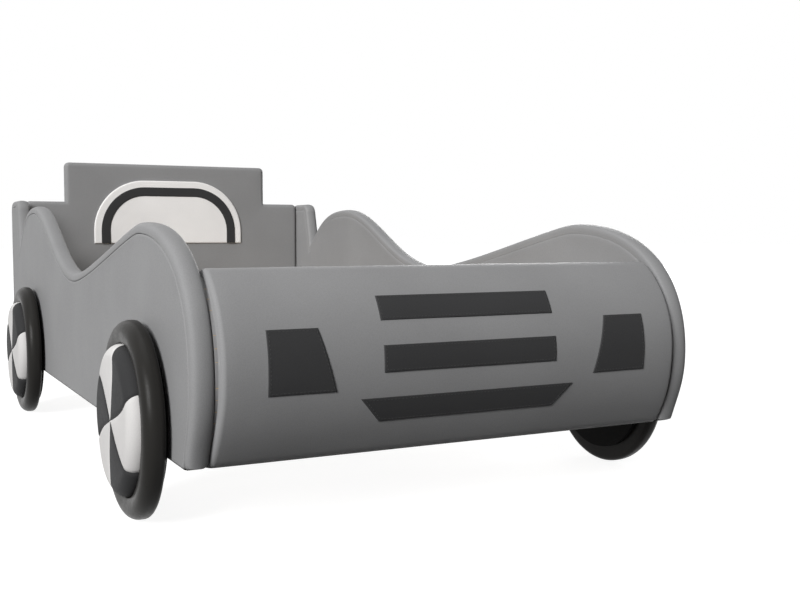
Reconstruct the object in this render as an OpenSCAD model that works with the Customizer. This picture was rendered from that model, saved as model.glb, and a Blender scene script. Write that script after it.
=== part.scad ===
// Upholstered children's bed in the shape of a small car.
// The car faces -Y and stands on the floor at z = 0. +X is the car's left, -X its right.

/* [Mattress bay] */
// Clear width between the two side panels
bay_w = 816; // [720:1:960]
// Clear length between the front panel and the headboard
bay_l = 1620; // [1500:5:1900]
// Height of the slat deck above the floor
deck_h = 240; // [238:1:270]

/* [Side panels] */
// Height of the underside of the side panels above the floor
side_gap = 111; // [90:1:125]
// Height of the crest over the front wheel
fender_h = 462; // [430:1:500]
// Height of the dip where a child gets in
dip_h = 363; // [340:1:390]
// Height of the crest over the rear wheel
hump_h = 511; // [480:1:525]
// Height of the stitched foot of the notch before the rear post
notch_h = 383; // [370:1:400]
// Height of the rear post
post_h = 534; // [525:1:570]
// Length of the rear post along its top
post_l = 128; // [110:1:150]
// Lean of the front edge of the rear post
post_lean = 32; // [0:1:40]
// Height of the foremost point of the side panels
nose_h = 239; // [225:1:260]
// Distance from the front panel's belly back to the seam of the side panels
nose_set = 26; // [20:1:40]
// Distance that the seam runs back from there to the foot
nose_foot_set = 34; // [15:1:40]
// Slope of the seam where it runs down to the notch, in degrees
notch_slope = 37; // [30:1:45]
// Distance that the rear edge stands out behind the headboard
panel_rear = 12; // [10:1:16]
// Rounding of the post's corners at the seam
post_r = 12; // [6:1:20]
// Thickness of the wooden boards
board_t = 15; // [12:1:18]
// Thickness of the foam on each face of a board
pad_t = 9; // [6:1:12]
// Depth of the round edge band, from seam to crest
band_d = 18; // [14:1:22]

/* [Front panel] */
// Height of the front panel's underside above that of the side panels
panel_step = 3; // [0:1:10]
// Height of the front panel
panel_h = 280; // [270:1:295]
// Height of the belly above the panel's underside
belly_h = 135; // [125:1:140]
// Radius of the panel below the belly
belly_low_r = 214; // [200:1:260]
// Radius of the panel above the belly
belly_high_r = 174; // [168:1:185]
// Radius of the front top edge
crest_r = 30; // [24:1:36]
// Radius of the rear top edge
back_r = 20; // [14:1:24]
// Depth from the belly to the bay
front_d = 118; // [112:1:135]
// Thickness of the foam over the bent skin and on the bay's side
front_pad_t = 12; // [8:1:14]
// Gap between the front panel's ends and the side panels
front_gap = 1; // [1:1:6]
// Length over which the foam rounds off at the panel's ends
end_round = 20; // [10:1:24]
// Thickness of the bent plywood skin
skin_t = 4; // [3:0.5:5]
// Number of ribs behind the skin
rib_count = 6; // [4:1:8]
// Side of the square battens that tie the ribs
batten_w = 25; // [20:1:28]
// Height of the upper batten above the panel's underside
batten_rise = 220; // [150:1:222]

/* [Grille and lamps] */
// Thickness of the sewn-on trim
trim_t = 2; // [1:0.5:3]
// Width of the upper and middle grille bars
bar_w = 308; // [240:1:360]
// Height of the upper grille bar and of its lower edge above the panel's underside
bar_top_size = [35, 202];
// Height of the middle grille bar and of its lower edge
bar_middle_size = [40, 126];
// Height of the lowest grille bar and of its lower edge
bar_bottom_size = [37, 51];
// Width of the lowest bar along its top
bar_bottom_top_w = 380; // [320:1:420]
// Width of the lowest bar along its foot
bar_bottom_foot_w = 312; // [240:1:340]
// Height of the lamps and of their lower edge
lamp_size = [93, 102];
// Distance from the panel's end to a lamp's outer edge
lamp_inset = 72; // [60:1:90]
// Width of a lamp along its top
lamp_top_w = 79; // [60:1:90]
// Width of a lamp along its foot
lamp_foot_w = 105; // [80:1:110]

/* [Headboard] */
// Height of the raised middle of the headboard
head_h = 647; // [600:1:700]
// Height of the headboard's shoulders
shoulder_h = 535; // [500:1:560]
// Width of the raised middle
head_mid_w = 597; // [520:1:640]
// Rounding of the headboard's corners
head_r = 13; // [12:1:18]
// Rounding of the padded edges
head_edge_r = 9; // [5:1:10]
// Foam over the board's edge
edge_foam_t = 6; // [3:1:9]
// Height of the rear window's foot above the floor
arch_foot_h = 415; // [380:1:430]
// Width of the rear window
arch_w = 442; // [380:1:500]
// Height of the rear window
arch_h = 184; // [165:1:195]
// Radius of the rear window's upper corners
arch_r = 148; // [100:1:160]
// Thickness of the rear window panel
arch_t = 6; // [3:1:8]
// Margin outside the dark stripe
stripe_margin = 20; // [12:1:28]
// Width of the dark stripe
stripe_w = 26; // [18:1:34]
// Thickness of the dark stripe
stripe_t = 1.5; // [1:0.5:2]

/* [Wheels] */
// Outer radius of the padded tyre
wheel_r = 155; // [145:1:165]
// Rounding of the tyre on its outer side
tyre_section_r = 19; // [18:0.5:21]
// Rounding of the tyre towards the hub
tyre_inner_r = 45; // [36:1:60]
// Distance from the side panel to the tyre's crown
tyre_depth = 41; // [39:1:44]
// Gap between the side panel and the tyre's back
tyre_gap = 4; // [2:0.5:6]
// Rounding of the tyre's back edge
tyre_back_r = 8; // [4:1:12]
// Radius of the plywood wheel disc
disc_r = 126; // [122:1:130]
// Thickness of the wheel disc
disc_t = 12; // [9:1:15]
// Radius of the hub cushion
hub_r = 118; // [112:1:120]
// Distance from the side panel to the face of the hub cushion
hub_depth = 56; // [52:1:62]
// Rounding of the hub cushion's edge
hub_edge_r = 20; // [14:1:24]
// Thickness of the sewn hub cover
cover_t = 3; // [2:0.5:4]
// Number of light gores, with as many dark ones between them
gore_count = 3; // [2:1:5]
// Turn of the gores' edges from the middle to the rim, in degrees
gore_swirl = 10; // [0:1:40]
// Turn of the whole pattern, in degrees
gore_turn = 103; // [0:1:119]
// Width of the seam between two gores
gore_seam = 0.4; // [0.2:0.1:1]
// Pitch circle diameter of the bolts that hold a wheel disc
wheel_bolt_pcd = 60; // [50:1:62]

/* [Slatted base] */
// Number of slats
slat_count = 13; // [10:1:16]
// Width of a slat
slat_w = 70; // [50:1:90]
// Thickness of a slat
slat_t = 12; // [10:1:18]
// Height of the bearer rails
rail_h = 40; // [30:1:45]
// Thickness of the bearer rails
rail_t = 30; // [22:1:40]
// Number of screws in each bearer rail
rail_screw_count = 6; // [4:1:9]
// Distance from a rail's end to its first screw
rail_screw_inset = 60; // [45:1:120]
// Gap between the bay's ends and the first and last slats
slat_inset = 5; // [3:1:12]

/* [Fittings] */
// Length of a corner bracket's legs
bracket_l = 40; // [30:1:50]
// Height of a corner bracket
bracket_h = 50; // [36:1:55]
// Thickness of a corner bracket
bracket_t = 2.5; // [2:0.5:4]
// Height of a corner bracket above the side panel's underside
bracket_rise = 15; // [5:1:20]
// Radius of the wood screws
screw_r = 2; // [1.5:0.25:2.5]
// Radius of a wood screw's head
screw_head_r = 4; // [3:0.5:5]
// Height of a wood screw's head
screw_head_t = 2; // [1.5:0.5:3]
// Depth of a wood screw in the piece that it holds on to
screw_grip = 11; // [8:1:11]
// Radius of the wheel bolts
bolt_r = 4; // [3:0.5:5]
// Radius of a wheel bolt's head
bolt_head_r = 10; // [7:0.5:12]
// Height of a wheel bolt's head
bolt_head_t = 4.5; // [3:0.5:6]
// Outer radius of a tee nut's barrel
nut_r = 5.5; // [5.5:0.25:7]
// Radius of a tee nut's flange
nut_flange_r = 10; // [8:0.5:12]
// Thickness of a tee nut's flange
nut_flange_t = 1.5; // [1:0.5:2]

/* [Hidden] */

leatherette = [0.56, 0.56, 0.56];
dark_leatherette = [0.22, 0.22, 0.22];
light_leatherette = [0.85, 0.84, 0.83];
foam_colour = [0.93, 0.90, 0.80];
plywood = [0.80, 0.66, 0.46];
pine = [0.86, 0.74, 0.53];
steel = [0.72, 0.73, 0.75];

round_steps = 48;
// Gap between pieces that are slid together
fit = 1;
// Gap round a fastener and between close round faces
play = 0.3;
// Overrun of a cutting shape
over = 1;

// Places along the length, from the front to the rear
applique_y = -(trim_t + front_d + bay_l + 2 * pad_t + board_t + panel_rear) / 2;
belly_y = applique_y + trim_t;
bay_front = belly_y + front_d;
bay_rear = bay_front + bay_l;
lining_back = bay_front - front_pad_t;
head_board_y = bay_rear + pad_t;
head_back = bay_rear + 2 * pad_t + board_t;
seam_rear = head_back + panel_rear - band_d;

// Places across the width, from the bay outwards
inner_x = bay_w / 2;
board_x = inner_x + pad_t;
outer_pad_x = board_x + board_t;
outer_x = outer_pad_x + pad_t;
side_t = outer_x - inner_x;
panel_x = inner_x - fit;
front_x = inner_x - front_gap;
lamp_outer = front_x - lamp_inset;

// Outline of a side panel at its seam, as y and z
function bezier(a, b, c, d, steps) = [
    for (i = [0:steps - 1])
        let (t = i / steps, s = 1 - t)
            a * s * s * s + 3 * b * s * s * t + 3 * c * s * t * t + d * t * t * t
];
function arc(centre, radius, from, to, steps) = [
    for (i = [0:steps])
        let (a = from + (to - from) * i / steps)
            centre + radius * [cos(a), sin(a)]
];

// Where the outline turns, as shares of the seam's length behind the nose
fender_share = 0.159;
dip_share = 0.484;
hump_share = 0.779;
front_wheel_share = 0.135;
// Lengths of the curve's handles, as shares of the stretch that they shape
nose_handle_shares = [0.35, 0.47];
fender_handle_shares = [0.49, 0.77];
dip_handle_shares = [0.11, 0.22];
hump_handle_shares = [0.45, 0.33];
notch_handle_shares = [0.56, 0.41];

nose_y = belly_y + nose_set;
side_l = seam_rear - nose_y;
fender_y = nose_y + fender_share * side_l;
dip_y = nose_y + dip_share * side_l;
hump_y = nose_y + hump_share * side_l;
post_top = post_h - band_d;
post_front = seam_rear - (post_l - 2 * band_d);
notch_y = post_front - post_lean;

foot_point = [nose_y + nose_foot_set, side_gap];
nose_point = [nose_y, nose_h];
fender_point = [fender_y, fender_h - band_d];
dip_point = [dip_y, dip_h - band_d];
hump_point = [hump_y, hump_h - band_d];
notch_point = [notch_y, notch_h];

nose_rise = nose_h - side_gap;
fender_rise = fender_point[1] - nose_h;
notch_run = notch_y - hump_y;
nose_steps = 5;
fender_steps = 9;
dip_steps = 10;
hump_steps = 9;
notch_steps = 7;
corner_steps = 4;

function side_outline() = concat(
    bezier(
        foot_point,
        foot_point + nose_handle_shares[0] * [-nose_foot_set, nose_rise],
        nose_point - [0, nose_handle_shares[1] * nose_rise],
        nose_point,
        nose_steps
    ),
    bezier(
        nose_point,
        nose_point + [0, fender_handle_shares[0] * fender_rise],
        fender_point - [fender_handle_shares[1] * (fender_y - nose_y), 0],
        fender_point,
        fender_steps
    ),
    bezier(
        fender_point,
        fender_point + [dip_handle_shares[0] * (dip_y - fender_y), 0],
        dip_point - [dip_handle_shares[1] * (dip_y - fender_y), 0],
        dip_point,
        dip_steps
    ),
    bezier(
        dip_point,
        dip_point + [hump_handle_shares[0] * (hump_y - dip_y), 0],
        hump_point - [hump_handle_shares[1] * (hump_y - dip_y), 0],
        hump_point,
        hump_steps
    ),
    bezier(
        hump_point,
        hump_point + [notch_handle_shares[0] * notch_run, 0],
        notch_point + notch_handle_shares[1] * notch_run * [-cos(notch_slope), sin(notch_slope)],
        notch_point,
        notch_steps
    ),
    [notch_point],
    arc([post_front + post_r, post_top - post_r], post_r, 180, 90, corner_steps),
    arc([seam_rear - post_r, post_top - post_r], post_r, 90, 0, corner_steps),
    [[seam_rear, side_gap]]
);
outline = side_outline();

// Directions square to a path, stretched at each bend so that offset stretches stay parallel
function unit(v) = v / norm(v);
function square_to(a, b) = let (d = unit(b - a)) [-d[1], d[0]];
function offsets(path) = [
    for (i = [0:len(path) - 1])
        let (
            before = i > 0 ? square_to(path[i - 1], path[i]) : [0, 0],
            after = i < len(path) - 1 ? square_to(path[i], path[i + 1]) : [0, 0]
        )
            i == 0 ? [1 / after[0], 0]
            : i == len(path) - 1 ? [1 / before[0], 0]
            : (before + after) / (1 + before * after)
];

function reversed(list) = [for (i = [len(list) - 1:-1:0]) list[i]];

// Lays a flat outline in y and z across the width, from x to x + t
module across(x, t) {
    translate([x, 0, 0])
        rotate([90, 0, 90])
            linear_extrude(t)
                children();
}

// Turns a round shape's axis from z to x, at a place in y and z
module along_x(x, y, z) {
    translate([x, y, z])
        rotate([90, 0, 90])
            children();
}

// The car's left side is drawn, its right side is the mirror image
module on_side(side) {
    mirror([side == "right" ? 1 : 0, 0, 0])
        children();
}

// Places that several pieces share
front_wheel_y = nose_y + front_wheel_share * side_l;
wheel_ys = [front_wheel_y, hump_y];
wheel_bolt_count = 3;
wheel_z = wheel_r;
hub_x = outer_x + hub_depth;
disc_face = outer_x + disc_t;

function wheel_bolt_places(y) = [
    for (i = [0:wheel_bolt_count - 1])
        let (a = 270 + 360 * i / wheel_bolt_count)
            [y + wheel_bolt_pcd / 2 * cos(a), wheel_z + wheel_bolt_pcd / 2 * sin(a)]
];

module wheel_bolt_holes(x, t, radius) {
    for (y = wheel_ys)
        for (p = wheel_bolt_places(y))
            along_x(x - over, p[0], p[1])
                cylinder(h = t + 2 * over, r = radius, $fn = round_steps);
}

rail_top = deck_h - slat_t;
rail_z = rail_top - rail_h;
rail_l = head_board_y - lining_back - 2 * fit;
rail_screw_pitch = (rail_l - 2 * rail_screw_inset) / (rail_screw_count - 1);
rail_screw_ys = [
    for (i = [0:rail_screw_count - 1])
        lining_back + fit + rail_screw_inset + i * rail_screw_pitch
];
rail_inner_x = board_x - rail_t;
cleat_x = rail_inner_x - fit;
cleat_screw_share = 0.75;
cleat_screw_xs = [for (s = [-1:1]) s * cleat_x * cleat_screw_share];

// A bracket's screws: two up each leg
bracket_z = side_gap + bracket_rise;
bracket_screw_zs = [bracket_z + bracket_h / 4, bracket_z + 3 * bracket_h / 4];
bracket_screw_share = 0.7;
bracket_screw_l = bracket_screw_share * bracket_l;

module screw(length) {
    translate([0, 0, -length])
        cylinder(h = length, r = screw_r, $fn = round_steps);
    cylinder(h = screw_head_t, r = screw_head_r, $fn = round_steps);
}

module screw_hole(length) {
    translate([0, 0, -length])
        cylinder(h = length + over, r = screw_r + play / 2, $fn = round_steps);
}

// Screws and holes that run along x, outwards from a face
module into_side(x, y, z) {
    translate([x, y, z])
        rotate([0, -90, 0])
            children();
}

// Screws and holes that run along y, to the rear or to the front
module into_head(x, y, z) {
    translate([x, y, z])
        rotate([90, 0, 0])
            children();
}

module into_front(x, y, z) {
    translate([x, y, z])
        rotate([-90, 0, 0])
            children();
}

// Side panels

module side_board(side) {
    color(plywood)
        on_side(side)
            difference() {
                across(board_x, board_t)
                    polygon(outline);
                wheel_bolt_holes(board_x, board_t, bolt_r + play / 2);
                for (y = rail_screw_ys)
                    into_side(board_x, y, rail_z + rail_h / 2)
                        screw_hole(screw_grip + play);
                for (z = bracket_screw_zs) {
                    into_side(board_x, lining_back + bracket_screw_l, z)
                        screw_hole(screw_grip + play);
                    into_side(board_x, head_board_y - bracket_screw_l, z)
                        screw_hole(screw_grip + play);
                }
            }
}

module side_outer_pad(side) {
    color(leatherette)
        on_side(side)
            difference() {
                across(outer_pad_x, pad_t)
                    polygon(outline);
                wheel_bolt_holes(outer_pad_x, pad_t, bolt_r + play / 2);
            }
}

// The lining of the side panel stops above the slats, where the bearers are screwed to the board
module side_inner_pad(side) {
    color(leatherette)
        on_side(side)
            across(inner_x, pad_t)
                difference() {
                    polygon(outline);
                    translate([lining_back, side_gap - over])
                        square([head_board_y - lining_back, deck_h - side_gap + over]);
                }
}

// A round band runs over the edge from the front foot to the rear foot, from seam to seam
band_steps = 8;
module side_edge_band(side) {
    out = offsets(outline);
    ring = band_steps + 1;
    points = [
        for (i = [0:len(outline) - 1])
            for (k = [0:band_steps])
                let (
                    a = -90 + 180 * k / band_steps,
                    p = outline[i] + band_d * cos(a) * out[i]
                )
                    [inner_x + side_t / 2 + side_t / 2 * sin(a), p[0], p[1]]
    ];
    sides = [
        for (i = [0:len(outline) - 2])
            for (k = [0:ring - 1])
                let (
                    a = i * ring + k,
                    b = i * ring + (k + 1) % ring
                )
                    each [[a, a + ring, b + ring], [a, b + ring, b]]
    ];
    ends = [
        [for (k = [0:ring - 1]) k],
        [for (k = [0:ring - 1]) len(points) - 1 - k]
    ];
    color(leatherette)
        on_side(side)
            polyhedron(points = points, faces = concat(sides, ends));
}

// Headboard

// Outline with rounded outer corners and square inner ones, as x and z, clockwise from the left foot
function head_outline(inset, foot) = let (
    radius = head_r - inset,
    w = panel_x - inset,
    m = head_mid_w / 2 - inset,
    shoulder = shoulder_h - inset,
    top = head_h - inset
) concat(
    [[-w, foot + inset]],
    arc([-w + radius, shoulder - radius], radius, 180, 90, corner_steps),
    [[-m, shoulder]],
    arc([-m + radius, top - radius], radius, 180, 90, corner_steps),
    arc([m - radius, top - radius], radius, 90, 0, corner_steps),
    [[m, shoulder]],
    arc([w - radius, shoulder - radius], radius, 90, 0, corner_steps),
    [[w, foot + inset]]
);

// Lays a flat outline in x and z along the length, from y to y + t
module lengthwise(y, t) {
    translate([0, y + t, 0])
        rotate([90, 0, 0])
            linear_extrude(t)
                children();
}

module headboard_board() {
    color(plywood)
        difference() {
            lengthwise(head_board_y, board_t)
                polygon(head_outline(edge_foam_t, side_gap));
            for (s = [-1, 1])
                for (z = bracket_screw_zs)
                    into_head(s * (board_x - bracket_screw_l), head_board_y, z)
                        screw_hole(screw_grip + play);
            for (x = cleat_screw_xs)
                into_head(x, head_board_y, rail_z + rail_h / 2)
                    screw_hole(screw_grip + play);
        }
}

// Rings that round an edge off, as inset and place along the length
edge_steps = 3;
function rounded_rings(y_back, y_face) = let (
    radius = min(head_edge_r, abs(y_face - y_back) - over),
    direction = sign(y_face - y_back)
) [
    for (i = [0:edge_steps])
        let (a = 90 * i / edge_steps)
            [radius * (1 - cos(a)), y_face - direction * radius * (1 - sin(a))]
];

// A solid through rings of the headboard's outline, the first and the last one closed
module ringed_solid(rings, foot, flip) {
    n = len(head_outline(0, foot));
    points = [
        for (r = rings)
            for (p = head_outline(r[0], foot))
                [p[0], r[1], p[1]]
    ];
    walls = [
        for (j = [0:len(rings) - 2])
            for (i = [0:n - 1])
                let (a = j * n + i, b = j * n + (i + 1) % n)
                    each [[a, b, b + n], [a, b + n, a + n]]
    ];
    ends = [
        [for (i = [0:n - 1]) n - 1 - i],
        [for (i = [0:n - 1]) (len(rings) - 1) * n + i]
    ];
    faces = concat(walls, ends);
    polyhedron(points = points, faces = flip ? [for (f = faces) reversed(f)] : faces);
}

// The front pad ends above the slats
module headboard_front_pad() {
    color(leatherette)
        ringed_solid(concat([[0, head_board_y]], rounded_rings(head_board_y, bay_rear)), deck_h, false);
}

// The back pad wraps the board's edges
module headboard_back_pad() {
    board_back = head_board_y + board_t;
    color(leatherette)
        ringed_solid(
            concat(
                [[edge_foam_t, board_back], [edge_foam_t, head_board_y], [0, head_board_y]],
                rounded_rings(head_board_y, head_back)
            ),
            side_gap,
            true
        );
}

// Rear window: a pale panel with a dark stripe inside its edge
module arch_shape(margin) {
    w = arch_w / 2 - margin;
    h = arch_h - margin;
    radius = arch_r - margin;
    translate([0, arch_foot_h])
        polygon(concat(
            [[-w, 0]],
            arc([-w + radius, h - radius], radius, 180, 90, 2 * fender_steps),
            arc([w - radius, h - radius], radius, 90, 0, 2 * fender_steps),
            [[w, 0]]
        ));
}

module rear_window_panel() {
    color(light_leatherette)
        lengthwise(bay_rear - arch_t, arch_t)
            arch_shape(0);
}

module rear_window_stripe() {
    color(dark_leatherette)
        lengthwise(bay_rear - arch_t - stripe_t, stripe_t)
            difference() {
                arch_shape(stripe_margin);
                arch_shape(stripe_margin + stripe_w);
            }
}

// Front panel

panel_z = side_gap + panel_step;
belly_z = panel_z + belly_h;
panel_top = panel_z + panel_h;
low_centre = [belly_y + belly_low_r, belly_z];
high_centre = [belly_y + belly_high_r, belly_z];
crest_z = panel_top - crest_r;
crest_reach = belly_high_r - crest_r;
crest_centre = [
    high_centre[0] - sqrt(crest_reach * crest_reach - (crest_z - belly_z) * (crest_z - belly_z)),
    crest_z
];
back_centre = [bay_front - back_r, panel_top - back_r];
low_angle = asin(belly_h / belly_low_r);
high_angle = atan2(crest_z - belly_z, high_centre[0] - crest_centre[0]);
profile_steps = 8;

// The panel's section from its front foot over the top to the bay, at a depth under the surface
function panel_path(depth) = let (
    low_r = belly_low_r - depth,
    foot_y = low_centre[0] - sqrt(low_r * low_r - belly_h * belly_h)
) concat(
    [[foot_y, panel_z]],
    [
        for (i = [1:profile_steps])
            let (a = 180 + low_angle * (1 - i / profile_steps))
                low_centre + low_r * [cos(a), sin(a)]
    ],
    [
        for (i = [1:profile_steps])
            let (a = 180 - high_angle * i / profile_steps)
                high_centre + (belly_high_r - depth) * [cos(a), sin(a)]
    ],
    [
        for (i = [1:corner_steps])
            let (a = 180 - high_angle - (90 - high_angle) * i / corner_steps)
                crest_centre + (crest_r - depth) * [cos(a), sin(a)]
    ],
    arc(back_centre, back_r - depth, 90, 0, corner_steps)
);

// The foam is full in the middle and rounds off towards both ends
end_steps = 4;
module front_pad() {
    stations = concat(
        [
            for (i = [0:end_steps])
                let (a = 90 * i / end_steps)
                    [-front_x + end_round * (1 - cos(a)), sin(a)]
        ],
        [
            for (i = [end_steps:-1:0])
                let (a = 90 * i / end_steps)
                    [front_x - end_round * (1 - cos(a)), sin(a)]
        ]
    );
    surface = panel_path(0);
    under = panel_path(front_pad_t);
    n = len(surface);
    end_share = 0.15;
    points = [
        for (s = stations)
            let (share = end_share + (1 - end_share) * s[1])
                each concat(
                    [for (i = [0:n - 1]) let (p = under[i] + share * (surface[i] - under[i])) [s[0], p[0], p[1]]],
                    [for (p = reversed(under)) [s[0], p[0], p[1]]]
                )
    ];
    ring = 2 * n;
    walls = [
        for (j = [0:len(stations) - 2])
            for (i = [0:ring - 1])
                let (a = j * ring + i, b = j * ring + (i + 1) % ring)
                    each [[a, b, b + ring], [a, b + ring, a + ring]]
    ];
    last = (len(stations) - 1) * ring;
    ends = [
        for (i = [0:n - 2])
            let (a = i, b = i + 1, c = ring - 2 - i, d = ring - 1 - i)
                each [[d, c, b], [d, b, a], [last + a, last + b, last + c], [last + a, last + c, last + d]]
    ];
    color(leatherette)
        polyhedron(points = points, faces = concat(walls, ends));
}

module front_bent_skin() {
    color(plywood)
        across(-front_x, 2 * front_x)
            polygon(concat(panel_path(front_pad_t), reversed(panel_path(front_pad_t + skin_t))));
}

board_front = lining_back - board_t;

module front_back_board() {
    color(plywood)
        difference() {
            translate([-front_x, board_front, panel_z])
                cube([2 * front_x, board_t, back_centre[1] - panel_z]);
            for (s = [-1, 1])
                for (z = bracket_screw_zs)
                    into_front(s * (board_x - bracket_screw_l), lining_back, z)
                        screw_hole(screw_grip + play);
            for (x = cleat_screw_xs)
                into_front(x, lining_back, rail_z + rail_h / 2)
                    screw_hole(screw_grip + play);
        }
}

module batten(z, gap) {
    translate([-front_x, board_front - batten_w - gap, z - gap])
        cube([2 * front_x, batten_w + gap, batten_w + 2 * gap]);
}

module front_top_batten() {
    color(pine)
        batten(panel_z + batten_rise, 0);
}

module front_bottom_batten() {
    color(pine)
        batten(panel_z, 0);
}

rib_pitch = (2 * front_x - board_t) / (rib_count - 1);
module front_ribs() {
    color(plywood)
        difference() {
            for (i = [0:rib_count - 1])
                across(-front_x + i * rib_pitch, board_t)
                    intersection() {
                        polygon(concat(panel_path(front_pad_t + skin_t), [[bay_front, panel_z]]));
                        translate([belly_y, panel_z])
                            square([board_front - belly_y, panel_h]);
                    }
            batten(panel_z + batten_rise, play);
            batten(panel_z, play);
        }
}

module front_lining() {
    color(leatherette)
        translate([-front_x, lining_back, deck_h])
            cube([2 * front_x, front_pad_t, back_centre[1] - deck_h]);
}

// Trim lies on the panel's surface inside an outline in x and z
module front_trim(points) {
    surface = panel_path(0);
    out = offsets(surface);
    raised = [for (i = [0:len(surface) - 1]) surface[i] + trim_t * out[i]];
    color(dark_leatherette)
        intersection() {
            across(-front_x, 2 * front_x)
                polygon(concat(raised, reversed(surface)));
            lengthwise(belly_y - trim_t - over, front_d)
                translate([0, panel_z])
                    polygon(points);
        }
}

function bar_points(top_w, foot_w, size) = [
    [-foot_w / 2, size[1]],
    [-top_w / 2, size[1] + size[0]],
    [top_w / 2, size[1] + size[0]],
    [foot_w / 2, size[1]]
];

module grille_bar_top() {
    front_trim(bar_points(bar_w, bar_w, bar_top_size));
}

module grille_bar_middle() {
    front_trim(bar_points(bar_w, bar_w, bar_middle_size));
}

module grille_bar_bottom() {
    front_trim(bar_points(bar_bottom_top_w, bar_bottom_foot_w, bar_bottom_size));
}

module headlamp(side) {
    on_side(side)
        front_trim([
            [lamp_outer - lamp_foot_w, lamp_size[1]],
            [lamp_outer - lamp_top_w, lamp_size[1] + lamp_size[0]],
            [lamp_outer, lamp_size[1] + lamp_size[0]],
            [lamp_outer, lamp_size[1]]
        ]);
}

// Wheels

module wheel_disc(side, y) {
    color(plywood)
        on_side(side)
            difference() {
                along_x(outer_x, y, wheel_z)
                    cylinder(h = disc_t, r = disc_r, $fn = 2 * round_steps);
                for (p = wheel_bolt_places(y))
                    along_x(outer_x - over, p[0], p[1])
                        cylinder(h = disc_t + 2 * over, r = nut_r + play / 2, $fn = round_steps);
            }
}

// Half section of the stuffed tyre: round outside, flat behind, falling gently towards the hub
module tyre_section() {
    crown_r = wheel_r - tyre_section_r;
    centre = tyre_depth - tyre_section_r;
    back_r = wheel_r - tyre_back_r;
    back_centre = tyre_gap + tyre_back_r;
    translate([crown_r, centre])
        circle(r = tyre_section_r, $fn = round_steps);
    translate([back_r, back_centre])
        circle(r = tyre_back_r, $fn = round_steps);
    translate([0, back_centre])
        square([wheel_r, centre - back_centre]);
    translate([0, tyre_gap])
        square([back_r, tyre_back_r]);
    intersection() {
        translate([crown_r, tyre_depth - tyre_inner_r])
            circle(r = tyre_inner_r, $fn = 2 * round_steps);
        translate([0, centre])
            square([crown_r, tyre_section_r]);
    }
}

module tyre(side, y) {
    color(dark_leatherette)
        on_side(side)
            along_x(outer_x, y, wheel_z)
                rotate_extrude($fn = 2 * round_steps)
                    difference() {
                        intersection() {
                            tyre_section();
                            translate([hub_r + play, 0])
                                square([wheel_r - hub_r, tyre_depth]);
                        }
                        translate([0, -over])
                            square([disc_r + play, disc_t + play + over]);
                    }
}

// Half section of the hub cushion, sunk by a depth under its surface
module hub_section(depth) {
    radius = hub_r - depth;
    height = hub_depth - disc_t - depth;
    edge = hub_edge_r - depth;
    square([radius, height - edge]);
    square([radius - edge, height]);
    translate([radius - edge, height - edge])
        circle(r = edge, $fn = round_steps);
}

module hub_foam(side, y) {
    color(foam_colour)
        on_side(side)
            difference() {
                along_x(disc_face, y, wheel_z)
                    rotate_extrude($fn = 2 * round_steps)
                        intersection() {
                            hub_section(cover_t);
                            square([hub_r, hub_depth]);
                        }
                for (p = wheel_bolt_places(y))
                    along_x(disc_face - over, p[0], p[1])
                        cylinder(h = nut_flange_t + play + over, r = nut_flange_r + play, $fn = round_steps);
            }
}

// One gore between two edges that swirl towards the rim
gore_steps = 8;
gore_angle = 180 / gore_count;
gore_reach = hub_r + over;
function gore_edge(from) = [
    for (i = [1:gore_steps])
        let (
            share = i / gore_steps,
            a = from - gore_swirl * share * share * share
        )
            gore_reach * share * [cos(a), sin(a)]
];
module gore_pattern(first) {
    for (i = [0:gore_count - 1])
        rotate(gore_turn + first + 2 * gore_angle * i)
            offset(delta = -gore_seam / 2)
                polygon(concat([[0, 0]], gore_edge(0), reversed(gore_edge(gore_angle))));
}

module hub_gores(side, y, first) {
    on_side(side)
        along_x(disc_face, y, wheel_z)
            intersection() {
                rotate_extrude($fn = 2 * round_steps)
                    intersection() {
                        difference() {
                            hub_section(0);
                            hub_section(cover_t);
                        }
                        square([hub_r, hub_depth]);
                    }
                linear_extrude(hub_depth)
                    gore_pattern(first);
            }
}

module hub_light_gores(side, y) {
    color(light_leatherette)
        hub_gores(side, y, gore_angle);
}

module hub_dark_gores(side, y) {
    color(dark_leatherette)
        hub_gores(side, y, 0);
}

module wheel_bolts() {
    color(steel)
        for (side = ["left", "right"])
            on_side(side)
                for (y = wheel_ys)
                    for (p = wheel_bolt_places(y)) {
                        along_x(board_x, p[0], p[1])
                            cylinder(h = board_t + pad_t + disc_t, r = bolt_r, $fn = round_steps);
                        along_x(board_x - bolt_head_t, p[0], p[1])
                            cylinder(h = bolt_head_t, r = bolt_head_r, $fn = round_steps);
                    }
}

module wheel_tee_nuts() {
    color(steel)
        for (side = ["left", "right"])
            on_side(side)
                for (y = wheel_ys)
                    for (p = wheel_bolt_places(y))
                        difference() {
                            union() {
                                along_x(outer_x, p[0], p[1])
                                    cylinder(h = disc_t, r = nut_r, $fn = round_steps);
                                along_x(disc_face, p[0], p[1])
                                    cylinder(h = nut_flange_t, r = nut_flange_r, $fn = round_steps);
                            }
                            along_x(outer_x - over, p[0], p[1])
                                cylinder(
                                    h = disc_t + nut_flange_t + 2 * over,
                                    r = bolt_r + play / 2,
                                    $fn = round_steps
                                );
                        }
}

// Slatted base

slat_pitch = (bay_l - slat_w - 2 * slat_inset) / (slat_count - 1);
slat_ys = [for (i = [0:slat_count - 1]) bay_front + slat_inset + slat_w / 2 + i * slat_pitch];
slat_x = inner_x - fit;
slat_screw_x = (rail_inner_x + slat_x) / 2;

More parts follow.
